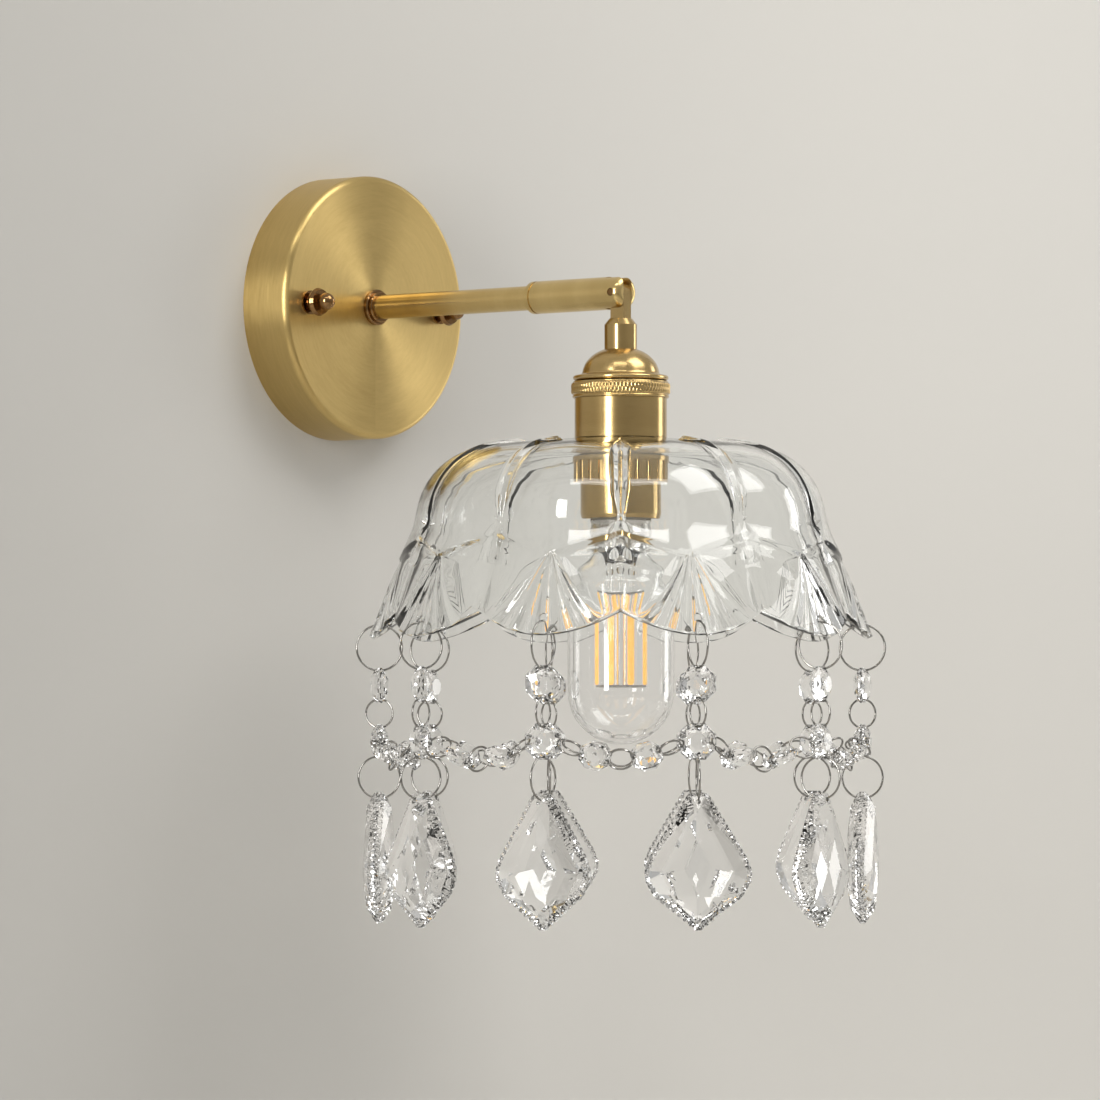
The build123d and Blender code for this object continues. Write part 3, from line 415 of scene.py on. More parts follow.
# Outside of the glass from hole to rim as radius, drop, tilt of the normal and part: a straight top,
# an arc through three points over the shoulder, then two straight runs, the whole averaged a little.
def shadeProfile(pull, rise):
    s = shade
    shoulderTilt = math.atan2(s["waistRadius"] - s["shoulderRadius"], s["waistDrop"] - s["shoulderDrop"])
    flareTilt = math.atan2(s["rimRadius"] - s["waistRadius"], s["rimDrop"] - s["waistDrop"])
    flatDrop = s["topDrop"] + s["flatFall"]
    lower = (1 - pull) * s["valleyFall"]
    a = np.array([s["flatRadius"] * (1 + pull) / 2, flatDrop + lower])
    b = np.array([(s["flatRadius"] + s["arcRadiusShare"] * (s["shoulderRadius"] - s["flatRadius"])) * pull,
                  flatDrop + s["arcDropShare"] * (s["shoulderDrop"] - flatDrop) + lower])
    c = np.array([s["shoulderRadius"] * pull, s["shoulderDrop"]])
    d = 2 * (a[0] * (b[1] - c[1]) + b[0] * (c[1] - a[1]) + c[0] * (a[1] - b[1]))
    ux = ((a @ a) * (b[1] - c[1]) + (b @ b) * (c[1] - a[1]) + (c @ c) * (a[1] - b[1])) / d
    uy = ((a @ a) * (c[0] - b[0]) + (b @ b) * (a[0] - c[0]) + (c @ c) * (b[0] - a[0])) / d
    centre, radius = np.array([ux, uy]), math.hypot(a[0] - ux, a[1] - uy)
    start, end = (math.atan2(p[1] - uy, p[0] - ux) for p in (a, c))
    top = np.linspace(0, 1, s["topRows"])[:-1, None]
    top = (1 - top) * [s["holeRadius"], s["topDrop"]] + top * a
    arcAngle = np.linspace(start, end, s["arcRows"])[:-1]
    arc = centre + radius * np.stack([np.cos(arcAngle), np.sin(arcAngle)], 1)
    waist = np.array([s["waistRadius"] * pull, s["waistDrop"] - rise * s["waistRise"]])
    rim = np.array([(s["rimRadius"] - rise * math.tan(flareTilt)) * pull, s["rimDrop"] - rise])
    run = np.linspace(0, 1, s["stepRows"])[:-1, None]
    stepRun = (1 - run) * c + run * waist
    run = np.linspace(0, 1, s["fanRows"])[:, None]
    fanRun = (1 - run) * waist + run * rim
    line = np.concatenate([top, arc, stepRun, fanRun])
    for _ in range(s["smoothing"]):
        line[1:-1] += 0.25 * (line[:-2] - 2 * line[1:-1] + line[2:])
    # -1 above the step, rising to 0 at the waist and 1 at the rim
    part = np.concatenate([np.full(len(top) + len(arc), -1.0),
                           np.linspace(0, 1, len(stepRun), endpoint=False) - 1,
                           np.linspace(0, 1, len(fanRun))])
    tilt = np.concatenate([np.full(len(top), math.radians(s["topTilt"])),
                           np.linspace(math.radians(s["arcTilt"]), shoulderTilt, len(arc)),
                           np.full(len(stepRun), shoulderTilt), np.full(len(fanRun), flareTilt)])
    smoothTilt = np.convolve(np.pad(tilt, 4, "edge"), np.ones(9) / 9, "valid")
    return line, smoothTilt, part


# Each cross-section bulges between its valleys as a parabola; below the waist the grid's lines
# follow the rays of the fan, and V-grooves, ribs and leaf facets are steps along the normal.
def buildShade():
    s = shade
    valley, tiltV, part = shadeProfile(s["valleyPull"], s["valleyRise"])
    middle, tiltM, _ = shadeProfile(1.0, 0.0)
    rows, columns = len(part), s["columnsPerPanel"]
    u = np.linspace(-1, 1, columns + 1)[:-1]
    u = np.sign(u) * (1 - (1 - np.abs(u)) ** s["columnBias"])
    share = s["fanShare"]
    edge = np.interp(part, [-1, 0, 1], [share, s["apexSpread"], s["rimSpread"]])[:, None]
    inside = np.abs(u)[None, :] <= share
    across = np.where(inside, u[None, :] / share * edge,
                      np.sign(u) * (edge + (np.abs(u)[None, :] - share) / (1 - share) * (1 - edge)))
    half = step / 2
    bend = 1 - across ** 2

    def bulge(atValley, atMiddle):
        return atValley[:, None] * (1 - bend) + atMiddle[:, None] * bend

    x = valley[:, 0:1] * math.cos(half) * (1 - bend) + middle[:, 0:1] * bend
    y = valley[:, 0:1] * math.sin(half) * across
    drop, tilt = bulge(valley[:, 1], middle[:, 1]), bulge(tiltV, tiltM)
    below = np.clip(part, 0, 1)[:, None]
    fan = np.where(inside, u[None, :] / share, 0)
    phase = (fan + 1) / 2 * s["flutes"]
    groove = 1 - np.abs(2 * (phase - np.floor(phase)) - 1)
    depth = s["fluteDepth"] * np.clip(below * s["fluteGrowth"] + s["fluteStart"], 0, 1)
    relief = np.where(inside & (part[:, None] > 0), -depth * groove ** s["fluteShape"], 0)
    leaf = (1 - np.abs(across)) / (1 - edge)
    relief += np.where(~inside, -s["leafDepth"] * 4 * leaf * (1 - leaf) * np.sin(math.pi * below) ** 0.5, 0)
    stepLine = np.clip((part[:, None] + s["stepVee"] * np.abs(across)) * s["stepSharpness"], 0, 1)
    relief -= s["stepDepth"] * stepLine * np.clip(1 - below * s["stepFade"], 0, 1)
    away = (1 - np.abs(across)) * valley[:, 0:1] * math.sin(half)
    ribRun = np.clip((drop - s["ribTop"]) / (s["ribEnd"] - s["ribTop"]), 0, 1)
    ribWidth = s["ribWidth"] * np.interp(ribRun, s["ribStops"], s["ribShape"])
    kiteWidth = s["kiteWidth"] * np.interp(drop, [s["kiteTop"], s["kiteMiddle"], s["kiteEnd"]], [0, 1, 0])
    for width in (ribWidth, kiteWidth):
        relief += s["ribHeight"] * np.clip(1 - away / np.maximum(width, 1e-5), 0, 1) * (width > 1e-5)
    angle = np.arctan2(y, x)
    flat = np.hypot(x, y)
    outerR, outerD = flat + relief * np.cos(tilt), drop - relief * np.sin(tilt)
    innerR, innerD = flat - s["wall"] * np.cos(tilt), drop + s["wall"] * np.sin(tilt)
    wave = np.sin(2 * math.pi * innerD / s["ripplePitch"] + s["rippleBend"] * across ** 2)
    innerR += s["rippleDepth"] * np.interp(innerD, s["rippleDrops"], (0, 1, 1, 0)) * bend * wave
    innerR[0], innerD[0] = flat[0], drop[0] + s["wall"]
    ringR = np.concatenate([outerR, innerR[::-1]])
    ringD = np.concatenate([outerD, innerD[::-1]])
    ringA = np.concatenate([angle, angle[::-1]])
    panels = [aroundAxis(ringR, ringA + firstStrand + step * k, -ringD) for k in range(strandCount)]
    points = np.concatenate(panels, 1)
    count = points.shape[1]
    faces = gridFaces(2 * rows, count, closeRows=True, closeColumns=True)
    item = meshObject("glassShade", points.reshape(-1, 3), faces)
    eyes = []
    for k in range(strandCount):
        angleK = firstStrand + step * k
        out = np.array([math.cos(angleK), math.sin(angleK), 0])
        eyes.append((pivot + out * strandRadius - [0, 0, s["eyeDrop"]], out, s["eyeRadius"], s["eyeReach"]))
    cut(item, rods("shadeEyes", eyes, s["eyeSides"]))
    paint(item, shadeGlass)
    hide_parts("glass_shade")
    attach(item, "lamp_head")
    return item


glassShade = buildShade()
print("stage: glass shade", len(glassShade.data.polygons), "faces")


# rings of round wire
wireRadius = 0.00045


# Ring in the XZ plane: a circle of wire swept round the origin.
def torus(radius, segments=40, sides=10):
    a = np.arange(segments)[:, None] * 2 * math.pi / segments
    b = np.arange(sides)[None, :] * 2 * math.pi / sides
    r = radius + wireRadius * np.cos(b)
    points = np.stack([r * np.cos(a), wireRadius * np.sin(b) + 0 * a, r * np.sin(a)], -1).reshape(-1, 3)
    return points, gridFaces(segments, sides, True, True).tolist()


# Turn and shift of a piece that hangs on a strand: its X points out from the lamp axis, but for a
# twist in degrees.
def strandPlace(number, height, twist):
    angle = firstStrand + step * number
    turn = turnZ(angle + math.radians(twist))
    shift = pivot * [1, 1, 0] + [strandRadius * math.cos(angle), strandRadius * math.sin(angle), height]
    return turn, shift


# how far each ring is turned on its strand, in degrees
ringTwists = dict(hanger=(4, -9, 7, 3, -8, -11, 6, 12, -7, 5),
                  link=(-12, 15, 8, -18, 20, -10, 14, -16, 22, 9),
                  pendant=(5, -14, 10, 6, -12, -16, -14, 8, 12, -9))


# Radius of the wire's middle line, read from the height of the node's box.
def ringRadius(nodeName):
    low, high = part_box(nodeName)
    return (high[2] - low[2]) / 2 - wireRadius


def ringSet(name, nodeName, height, twists):
    places = [strandPlace(k, height, twist) for k, twist in enumerate(twists)]
    item = manyCopies(name, torus(ringRadius(nodeName)), places, True)
    paint(item, ringWire)
    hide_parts(nodeName)
    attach(item, "lamp_head")


ringSet("hangerRings", "hanger_rings", hangerHeight, ringTwists["hanger"])
ringSet("linkRings", "link_rings", linkHeight, ringTwists["link"])
for k in range(strandCount):
    name = f"pendant_ring_{k + 1:02d}"
    place = strandPlace(k, pendantRingHeight, ringTwists["pendant"][k])
    ring = manyCopies(f"pendantRing{k + 1:02d}", torus(ringRadius(name)), [place], True)
    paint(ring, ringWire)
    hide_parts(name)
    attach(ring, f"pendant_drop_{k + 1:02d}")
print("stage: rings")

# cut octagon beads; the star's thickness and radius are shares of the bead's
bead = dict(radius=0.008, table=0.0036, thickness=0.007, girdle=0.0012, eye=0.0056, eyeRadius=0.00125,
            starThickness=0.36, starRadius=0.70)
swagBead = dict(bead, radius=0.007, table=0.0031, thickness=0.0064, eye=0.0049)
# half the length of the rods that cut the eyes
drillReach = 0.01


# Face towards X: an octagon girdle, a star of eight corners half way in, an octagon table.
def cutOctagon(name, sizes, eyes):
    a = (np.arange(8) + 0.5) * math.pi / 4
    star = (sizes["thickness"] * sizes["starThickness"], sizes["radius"] * sizes["starRadius"], math.pi / 8)
    sides = []
    for x, radius, turn in ((sizes["girdle"] / 2, sizes["radius"], 0.0), star,
                            (sizes["thickness"] / 2, sizes["table"], 0.0)):
        ring = radius * np.stack([np.cos(a + turn), np.sin(a + turn)], 1)
        for side in (-1, 1):
            sides.append(np.column_stack([np.full(8, side * x), ring]))
    item = hullObject(name, np.concatenate(sides))
    cut(item, rods("beadEyes", [((0, y * sizes["eye"], z * sizes["eye"]), (1, 0, 0),
                                 sizes["eyeRadius"], drillReach) for y, z in eyes]))
    data = meshData(item)
    bpy.data.objects.remove(item)
    return data


def crystalPiece(name, template, places, nodeName, body):
    item = manyCopies(name, template, places)
    paint(item, crystalGlass)
    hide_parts(nodeName)
    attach(item, body)


twoEyes = ((0, 1), (0, -1))
sideEyes = ((1, 0), (-1, 0))
# how far each bead is turned on its strand, in degrees
upperTwists = (10, -14, 6, 12, -20, 34, -16, 9, -12, 7)
junctionTwists = (0, 6, -5, 8, -7, 10, -14, 6, -8, 4)
crystalPiece("upperBeads", cutOctagon("upperBead", bead, twoEyes),
             [strandPlace(k, upperBeadHeight, upperTwists[k]) for k in range(strandCount)],
             "upper_beads", "lamp_head")
# wider eyes leave room for the pendant rings when they swing
junctionBead = dict(bead, eyeRadius=0.0016)
crystalPiece("junctionBeads", cutOctagon("junctionBead", junctionBead, twoEyes + sideEyes),
             [strandPlace(k, junctionHeight, junctionTwists[k]) for k in range(strandCount)],
             "junction_beads", "lamp_head")
print("stage: beads")

# swags: ring, bead, ring, bead, ring from strand to strand, each tilted in degrees about the chain
swag = dict(ringSlope=math.radians(24), beadSlope=math.radians(14), seat=0.0006)
swagTilts = ((22, 30, 44, -26, -20), (18, -24, -40, 30, 24), (25, 30, 50, 28, 18), (-20, 56, 62, 60, 42),
             (50, 66, 72, 60, 36), (30, 36, 50, -34, -28), (48, 70, 78, 72, 50), (-42, -60, 66, 56, 40),
             (24, 26, -44, -28, 20), (20, 30, 46, 30, 22))


# Half a swag in its own plane, then both halves at every gap, from the side hole of one junction
# bead to the next. The ring radius follows from the gap, so that five links just fill it.
def swagPlaces():
    half = step / 2
    start = strandRadius * math.sin(half) - bead["eye"] * math.cos(half)
    span = 2 * swagBead["eye"]
    cosR, sinR = math.cos(swag["ringSlope"]), math.sin(swag["ringSlope"])
    cosB, sinB = math.cos(swag["beadSlope"]), math.sin(swag["beadSlope"])
    radius = (start - (span + swag["seat"]) * cosB - swag["seat"] * (1 + cosR)) / (1 + 2 * cosR)
    beadStart = radius + swag["seat"]
    beadMiddle = np.array([beadStart + span / 2 * cosB, span / 2 * sinB])
    beadEnd = np.array([beadStart + span * cosB, span * sinB])
    ringMiddle = beadEnd + (swag["seat"] + radius) * np.array([cosR, sinR])
    sag = ringMiddle[1] + (radius + swag["seat"]) * sinR
    out = strandRadius * math.cos(half) + bead["eye"] * math.sin(half)
    rings, beads = [], []
    for number in range(strandCount):
        turn = turnZ(firstStrand + step * number + half)
        base = pivot * [1, 1, 0] + turn @ [out, 0, 0] + [0, 0, junctionHeight - sag]
        tilts = [math.radians(t) for t in swagTilts[number]]
        flat = turnX(math.pi / 2)
        stations = [(-ringMiddle[0], ringMiddle[1], -swag["ringSlope"], tilts[0], rings, flat),
                    (-beadMiddle[0], beadMiddle[1], -swag["beadSlope"], tilts[1], beads, np.eye(3)),
                    (0, 0, 0, tilts[2], rings, flat),
                    (beadMiddle[0], beadMiddle[1], swag["beadSlope"], tilts[3], beads, np.eye(3)),
                    (ringMiddle[0], ringMiddle[1], swag["ringSlope"], tilts[4], rings, flat)]
        for y, z, slope, tilt, group, rest in stations:
            group.append((turn @ turnX(slope) @ turnY(tilt) @ rest, base + turn @ [0, y, z]))
    return radius, rings, beads


swagRadius, swagRingPlaces, swagBeadPlaces = swagPlaces()
swagRings = manyCopies("swagRings", torus(swagRadius, segments=32, sides=8), swagRingPlaces, True)
paint(swagRings, ringWire)
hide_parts("swag_rings")
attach(swagRings, "lamp_head")
crystalPiece("swagBeads", cutOctagon("swagBead", swagBead, sideEyes), swagBeadPlaces,
             "swag_beads", "lamp_head")
print("stage: swags")

# leaf pendants
pendant = dict(height=0.056, half=0.022, thickness=0.013, girdle=0.0020, bevel=0.0018, bevelRise=0.0014,
               eyeDrop=0.0034, eyeRadius=0.00125, crownShare=0.41, middleClear=0.0005,
               grooves=24, grooveRadius=0.0009, grooveDepth=0.0005, grooveOverlap=0.0003, tipClear=0.0018,
               grooveSides=8)
pendantTwists = (4, -6, 8, -5, 6, -11, -17, 5, -8, 7)
# shares of half width and height, from the top down
leafOutline = np.array([(0.17, 0.0), (0.25, 0.035), (0.38, 0.13), (0.64, 0.29), (0.9, 0.46), (1.0, 0.56),
                        (0.98, 0.64), (0.82, 0.75), (0.5, 0.845), (0.26, 0.91), (0.06, 0.992)])
leafCrown = np.array([(0.0, 0.12), (0.34, 0.38), (0.62, 0.58), (0.40, 0.74), (0.0, 0.88)])
leafTop = np.array([(0.0, 0.34), (0.22, 0.55), (0.0, 0.74)])


# Face towards X, top at the origin: hull of the leaf outline at the girdle, the same outline set
# in by the bevel, a crown of five corners and a central diamond; round grooves run over the bevels.
def leafPendant():
    p = pendant
    scale = [p["half"], -p["height"]]
    edge = leafOutline * scale
    tangent = np.gradient(edge, axis=0)
    normal = np.stack([-tangent[:, 1], tangent[:, 0]], 1)
    normal /= np.linalg.norm(normal, axis=1)[:, None]
    inset = edge - normal * p["bevel"]
    inset = inset[inset[:, 0] > p["middleClear"]]
    corners = []
    for flat, x in ((edge, p["girdle"] / 2), (inset, p["girdle"] / 2 + p["bevelRise"]),
                    (leafCrown * scale, p["thickness"] * p["crownShare"]),
                    (leafTop * scale, p["thickness"] / 2)):
        for side in (-1, 1):
            for mirror in (-1, 1):
                corners.append(np.stack([np.full(len(flat), side * x), mirror * flat[:, 0], flat[:, 1]], 1))
    item = hullObject("leaf", np.concatenate(corners))
    lengths = np.concatenate([[0], np.cumsum(np.linalg.norm(np.diff(edge, axis=0), axis=1))])
    slope = math.hypot(p["bevel"], p["bevelRise"])
    out = p["grooveRadius"] - p["grooveDepth"]
    front, behind, through = [], [], [((0, 0, -p["eyeDrop"]), (1, 0, 0), p["eyeRadius"], drillReach)]
    lines = np.concatenate([edge, normal], 1).T
    for at in np.linspace(lengths[1], lengths[-1] - p["tipClear"], p["grooves"]):
        y, z, ny, nz = (np.interp(at, lengths, line) for line in lines)
        for mirror in (-1, 1):
            n = np.array([0, mirror * ny, nz])
            place = np.array([0, mirror * y, z])
            outside = place + n * (p["grooveRadius"] - p["grooveOverlap"])
            through.append((outside, (1, 0, 0), p["grooveRadius"], drillReach))
            for side, group in ((1, front), (-1, behind)):
                x = np.array([side, 0, 0])
                middle = place - n * p["bevel"] / 2 + x * (p["girdle"] / 2 + p["bevelRise"] / 2)
                upward = (n * p["bevelRise"] + x * p["bevel"]) / slope
                along = (x * p["bevelRise"] - n * p["bevel"]) / slope
                half = slope / 2 + p["grooveOverlap"]
                group.append((middle + upward * out, along, p["grooveRadius"], half))
    for group in (front, behind, through):
        cut(item, rods("grooves", group, p["grooveSides"]))
    data = meshData(item)
    bpy.data.objects.remove(item)
    return data


leaf = leafPendant()
for k in range(strandCount):
    crystalPiece(f"leafPendant{k + 1:02d}", leaf, [strandPlace(k, pendantTop, pendantTwists[k])],
                 f"pendant_{k + 1:02d}", f"pendant_drop_{k + 1:02d}")
print("stage: pendants", len(leaf[1]), "faces each")

# amber filaments: flat strips with rounded edges, wider than the substrate behind the coat; the end
# values round them off at the top and the bottom
filament = dict(wide=0.0026, thick=0.001, radius=0.011, phase=18.4, strips=8, sides=16, roundness=0.6,
                endRise=(0, 0.0004, 0.001), endScale=(0, 0.8, 1))


# Each strip is a rounded rectangle swept straight up, at the places of the solids it stands for.
def filamentStrips():
    low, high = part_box("led_filaments")
    f = filament
    a = np.arange(f["sides"]) * 2 * math.pi / f["sides"]
    ring = np.stack([np.cos(a), np.sin(a)], 1)
    ring = np.sign(ring) * np.abs(ring) ** f["roundness"] * [f["thick"] / 2, f["wide"] / 2]
    rise = np.array(f["endRise"])
    heights = np.concatenate([low[2] + rise, [(low[2] + high[2]) / 2], high[2] - rise[::-1]])
    scales = np.array([*f["endScale"], 1, *f["endScale"][::-1]])
    levels = [np.column_stack([ring * share, np.full(len(a), z)]) for share, z in zip(scales, heights)]
    points = np.concatenate(levels) + [f["radius"], 0, 0]
    faces = gridFaces(len(heights), f["sides"], closeColumns=True).tolist()
    turns = [math.radians(f["phase"] + 360 / f["strips"] * k) for k in range(f["strips"])]
    places = [(turnZ(turn), pivot * [1, 1, 0]) for turn in turns]
    item = manyCopies("filamentStrips", (points, faces), places, True)
    paint(item, filamentPaintedGlow)
    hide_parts("led_filaments")
    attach(item, "bulb")


filamentStrips()
print("stage: filaments")

# knurled ring: cords that lean both ways, over a plain lip
knurl = dict(radius=0.0212, inner=0.0187, top=0.0377, bottom=0.0447, under=0.0011,
             cords=80, lean=1.6, depth=0.0005, sharpness=0.7, crossShare=0.4, cordMiddle=0.35,
             crown=0.0006, crownPlace=0.43, crownFall=0.8, lip=0.0012, lipRise=0.0004,
             fadeStart=0.0003, fade=0.0008, rows=33, columnsPerCord=12)


# Radius grows with a rounded band in height and, inside the band, with two waves that lean the
# one way and the other; a lip closes it at the bottom.
def knurledRing():
    k = knurl
    height = k["bottom"] - k["top"]
    columns = k["cords"] * k["columnsPerCord"]
    v = np.linspace(0, 1, k["rows"])[:, None]
    a = np.arange(columns)[None, :] * 2 * math.pi / columns
    fromTop, fromBottom = v * height, (1 - v) * height
    band = np.clip((fromTop - k["fadeStart"]) / k["fade"], 0, 1)
    band = band * np.clip((fromBottom - k["lip"]) / k["fade"], 0, 1)
    band = band * band * (3 - 2 * band)
    lean = v * math.pi * k["lean"]
    forth, against = (np.abs(np.sin(a * k["cords"] / 2 + turn)) ** k["sharpness"] for turn in (lean, -lean))
    cord = forth * (1 - k["crossShare"]) + against * k["crossShare"]
    crown = k["crown"] * np.sqrt(np.clip(1 - (2 * (v - k["crownPlace"])) ** 2 * k["crownFall"], 0, 1))
    lips = k["lipRise"] * np.clip(1 - np.abs(fromBottom - k["lip"] / 2) / (k["lip"] / 2), 0, 1) ** 0.5
    radius = k["radius"] - k["under"] + crown * band + (cord - k["cordMiddle"]) * k["depth"] * band + lips
    outer = aroundAxis(radius, a, -(k["top"] + fromTop))
    inner = aroundAxis(k["inner"], a, -(k["top"] + fromTop))[::-1]
    points = np.concatenate([outer, inner])
    item = meshObject("ropeRing", points.reshape(-1, 3), gridFaces(len(points), columns, True, True))
    paint(item, holderBrass)
    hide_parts("knurled_ring")
    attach(item, "lamp_head")


knurledRing()

# cap of the holder: a bell that springs from the stem and stands on a ledge; line holds radius and
# drop below the pivot, and the inside stays between innerLow and innerHigh
bell = dict(
    line=((0.0069, 0.0240), (0.0083, 0.0245), (0.0102, 0.0254), (0.0120, 0.0266), (0.0138, 0.0283),
          (0.0151, 0.0301), (0.0159, 0.0321), (0.0163, 0.0338), (0.0164, 0.0345), (0.0168, 0.0348),
          (0.0190, 0.0350), (0.0200, 0.0352), (0.0203, 0.0356), (0.0203, 0.0366), (0.0199, 0.0371),
          (0.0193, 0.0373)),
    sheet=0.0008, innerLow=(0.0062, 0.0246), innerHigh=(0.0196, 0.0373), rows=72, smoothing=8, segments=96)


# The outside is a smooth line through the bell's points; the inside follows it a sheet lower.
def bellCap():
    b = bell
    rough = np.array(b["line"])
    lengths = np.concatenate([[0], np.cumsum(np.linalg.norm(np.diff(rough, axis=0), axis=1))])
    at = np.linspace(0, lengths[-1], b["rows"])
    outer = np.stack([np.interp(at, lengths, rough[:, i]) for i in (0, 1)], 1)
    for _ in range(b["smoothing"]):
        outer[1:-1] += 0.25 * (outer[:-2] - 2 * outer[1:-1] + outer[2:])
    tangent = np.gradient(outer, axis=0)
    inward = np.stack([-tangent[:, 1], tangent[:, 0]], 1) / np.linalg.norm(tangent, axis=1)[:, None]
    inner = np.clip(outer + b["sheet"] * inward, b["innerLow"], b["innerHigh"])[::-1]
    line = np.concatenate([outer, inner])
    a = np.arange(b["segments"])[None, :] * 2 * math.pi / b["segments"]
    points = aroundAxis(line[:, 0:1], a, -line[:, 1:2])
    item = meshObject("bellCap", points.reshape(-1, 3), gridFaces(len(line), b["segments"], True, True))
    paint(item, holderBrass)
    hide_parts("socket_cap")
    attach(item, "lamp_head")


bellCap()


# Turns all faces of a drawn piece outwards.
def recalcOutward(item):
    bm = bmesh.new()
    bm.from_mesh(item.data)
    bmesh.ops.recalc_face_normals(bm, faces=bm.faces)
    bm.to_mesh(item.data)
    bm.free()


for item in [o for o in bpy.data.objects if o.type == "MESH" and o.name not in frame["nodes"]]:
    recalcOutward(item)
print("stage: turned pieces")

# wall and floor; the wall's colour is darker towards -X, a painted shade for light that falls off across
# it, and the wall is open behind the backplate
room = dict(floorHeight=-0.62, wallTop=2.2, side=2.6, front=-3.2, back=2.0, opening=0.053,
            wallColour=(0.662, 0.648, 0.616), floorColour=(0.62, 0.60, 0.57), wallPaintedShade=0.54,
            shadeFrom=-0.6, shadeTo=0.5)


# Matt paint with painted shade: darker towards -X where asked for, standing in for light that falls off
# across the wall; a one-sided sheet lets rays through from behind and at the opening that the backplate
# covers, so that views from the back are free and lit.
def plainSurface(name, colour, oneSided, dim=1.0):
    material, tree, shader = newMaterial(name)
    shader.inputs["Roughness"].default_value = 0.9
    coordinates = node(tree, "ShaderNodeTexCoord")
    grain = node(tree, "ShaderNodeTexNoise", Scale=2.2, Detail=2.0)
    ramp = node(tree, "ShaderNodeValToRGB")
    ramp.color_ramp.elements[0].color = (*[c * 0.985 for c in colour], 1)
    ramp.color_ramp.elements[1].color = (*colour, 1)
    parts = node(tree, "ShaderNodeSeparateXYZ")
    # painted shade: the paint's colour is scaled down towards -X
    fade = node(tree, "ShaderNodeMapRange", interpolation_type="SMOOTHSTEP")
    for socket, value in (("From Min", room["shadeFrom"]), ("From Max", room["shadeTo"]), ("To Min", dim)):
        fade.inputs[socket].default_value = value
    paintedShadeColour = node(tree, "ShaderNodeVectorMath", operation="SCALE")
    link(tree, coordinates, "Object", grain, "Vector")
    link(tree, coordinates, "Object", parts, "Vector")
    link(tree, parts, "X", fade, "Value")
    link(tree, grain, "Fac", ramp, "Fac")
    link(tree, ramp, "Color", paintedShadeColour, "Vector")
    link(tree, fade, "Result", paintedShadeColour, "Scale")
    link(tree, paintedShadeColour, "Vector", shader, "Base Color")
    if oneSided:
        side = node(tree, "ShaderNodeNewGeometry")
        through = node(tree, "ShaderNodeBsdfTransparent")
        reach = node(tree, "ShaderNodeVectorMath", operation="LENGTH")
        opening = node(tree, "ShaderNodeMath", operation="LESS_THAN")
        opening.inputs[1].default_value = room["opening"]
        either = node(tree, "ShaderNodeMath", operation="MAXIMUM")
        link(tree, coordinates, "Object", reach, 0)
        link(tree, reach, "Value", opening, 0)
        link(tree, opening, "Value", either, 0)
        link(tree, side, "Backfacing", either, 1)
        mix = node(tree, "ShaderNodeMixShader")
        link(tree, either, "Value", mix, 0)
        link(tree, shader, "BSDF", mix, 1)
        link(tree, through, "BSDF", mix, 2)
        link(tree, mix, "Shader", tree.nodes["Material Output"], "Surface")
    return material


def stageSheet(name, corners, material):
    item = meshObject(name, corners, [[0, 1, 2, 3]], False)
    paint(item, material)


wallPaint = plainSurface("wallPaint", room["wallColour"], True, room["wallPaintedShade"])
floorPaint = plainSurface("floorPaint", room["floorColour"], False)
side, low, top = room["side"], room["floorHeight"], room["wallTop"]
front, behind = room["front"], room["back"]
stageSheet("wall", [(-side, 0, low), (side, 0, low), (side, 0, top), (-side, 0, top)], wallPaint)
stageSheet("floor", [(-side, front, low), (side, front, low), (side, behind, low), (-side, behind, low)],
           floorPaint)

# soft lamps: place, target, size and power of each
lampColour = (1.0, 0.99, 0.97)
lamps = dict(windowLeft=((-1.5, -0.42, 0.2), (0.0, -0.55, 0.0), (0.28, 0.85), 17),
             keyAbove=((0.4, -1.35, 1.5), (0.0, -0.05, -0.05), (1.2, 1.2), 20),
             ceilingStrip=((-0.75, -0.75, 1.15), (0.0, -0.15, 0.0), (0.9, 0.2), 3),
             sideRight=((2.1, -0.95, -0.1), (0.1, -0.1, -0.1), (0.6, 2.0), 12.5))


def softLight(name, place, target, size, power):
    data = bpy.data.lights.new(name, "AREA")
    data.shape = "RECTANGLE"
    data.size, data.size_y = size
    data.energy = power
    data.color = lampColour
    item = bpy.data.objects.new(name, data)
    bpy.context.collection.objects.link(item)
    item.location = place
    item.rotation_euler = (Vector(target) - Vector(place)).to_track_quat("-Z", "Y").to_euler()


for name, values in lamps.items():
    softLight(name, *values)

# light of the surroundings: from low to high, and towards a dim corner of the room
studio = dict(low=-0.5, high=0.6, lowLight=0.62, highLight=1.1, corner=(-0.50, -0.86, 0.0),
              cornerStart=0.55, cornerEnd=0.98, colour=(0.50, 0.495, 0.48), cornerColour=(0.40, 0.39, 0.37))


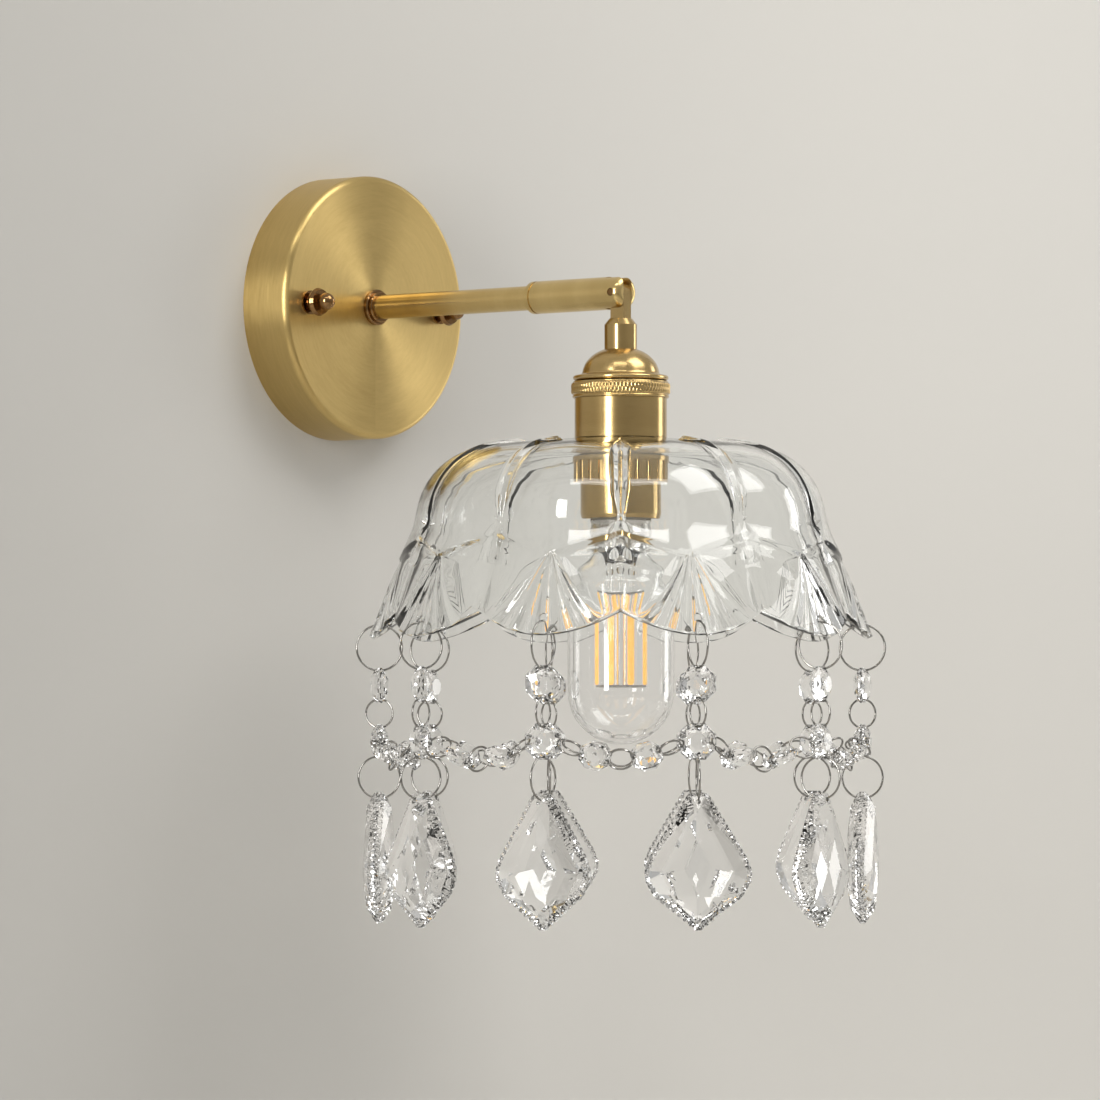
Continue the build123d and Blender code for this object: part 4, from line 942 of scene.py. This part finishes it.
# Surroundings of a pale room: brightness = a ramp over height times a ramp away from the dim
# corner of the room, so that metal shows a darker band.
def studioWorld():
    world = bpy.data.worlds.new("studio")
    bpy.context.scene.world = world
    world.use_nodes = True
    tree = world.node_tree
    background = tree.nodes["Background"]
    direction = node(tree, "ShaderNodeTexCoord")
    parts = node(tree, "ShaderNodeSeparateXYZ")
    rise = node(tree, "ShaderNodeMapRange")
    rise.inputs["From Min"].default_value = studio["low"]
    rise.inputs["From Max"].default_value = studio["high"]
    rise.inputs["To Min"].default_value = studio["lowLight"]
    rise.inputs["To Max"].default_value = studio["highLight"]
    corner = node(tree, "ShaderNodeVectorMath", operation="DOT_PRODUCT")
    corner.inputs[1].default_value = studio["corner"]
    ramp = node(tree, "ShaderNodeValToRGB")
    ramp.color_ramp.elements[0].position = studio["cornerStart"]
    ramp.color_ramp.elements[0].color = (*studio["colour"], 1)
    ramp.color_ramp.elements[1].position = studio["cornerEnd"]
    ramp.color_ramp.elements[1].color = (*studio["cornerColour"], 1)
    scaled = node(tree, "ShaderNodeVectorMath", operation="SCALE")
    link(tree, direction, "Generated", parts, "Vector")
    link(tree, direction, "Generated", corner, 0)
    link(tree, parts, "Z", rise, "Value")
    link(tree, corner, "Value", ramp, "Fac")
    link(tree, ramp, "Color", scaled, "Vector")
    link(tree, rise, "Result", scaled, "Scale")
    link(tree, scaled, "Vector", background, "Color")


studioWorld()

# camera: turned about the lamp axis, distances and heights from the pivot's foot
view = dict(azimuth=-49.1, distance=2.69, height=-0.1905, aside=-0.0299, aimHeight=-0.1089,
            lens=208.5, sensor=36.0, clipEnd=20.0)
azimuth = math.radians(view["azimuth"])
right = np.array([math.cos(azimuth), math.sin(azimuth), 0])
back = np.array([math.sin(azimuth), -math.cos(azimuth), 0])
foot = pivot * [1, 1, 0] + right * view["aside"]
eyePlace = foot + back * view["distance"] + [0, 0, view["height"]]
aim = foot + [0, 0, view["aimHeight"]]
cameraData = bpy.data.cameras.new("camera")
cameraData.lens = view["lens"]
cameraData.sensor_width = view["sensor"]
cameraData.clip_end = view["clipEnd"]
camera = bpy.data.objects.new("camera", cameraData)
bpy.context.collection.objects.link(camera)
camera.location = eyePlace
camera.rotation_euler = Vector(aim - eyePlace).to_track_quat("-Z", "Y").to_euler()
bpy.context.scene.camera = camera
bpy.context.scene.view_settings.view_transform = "Standard"
print("stage: light and camera")
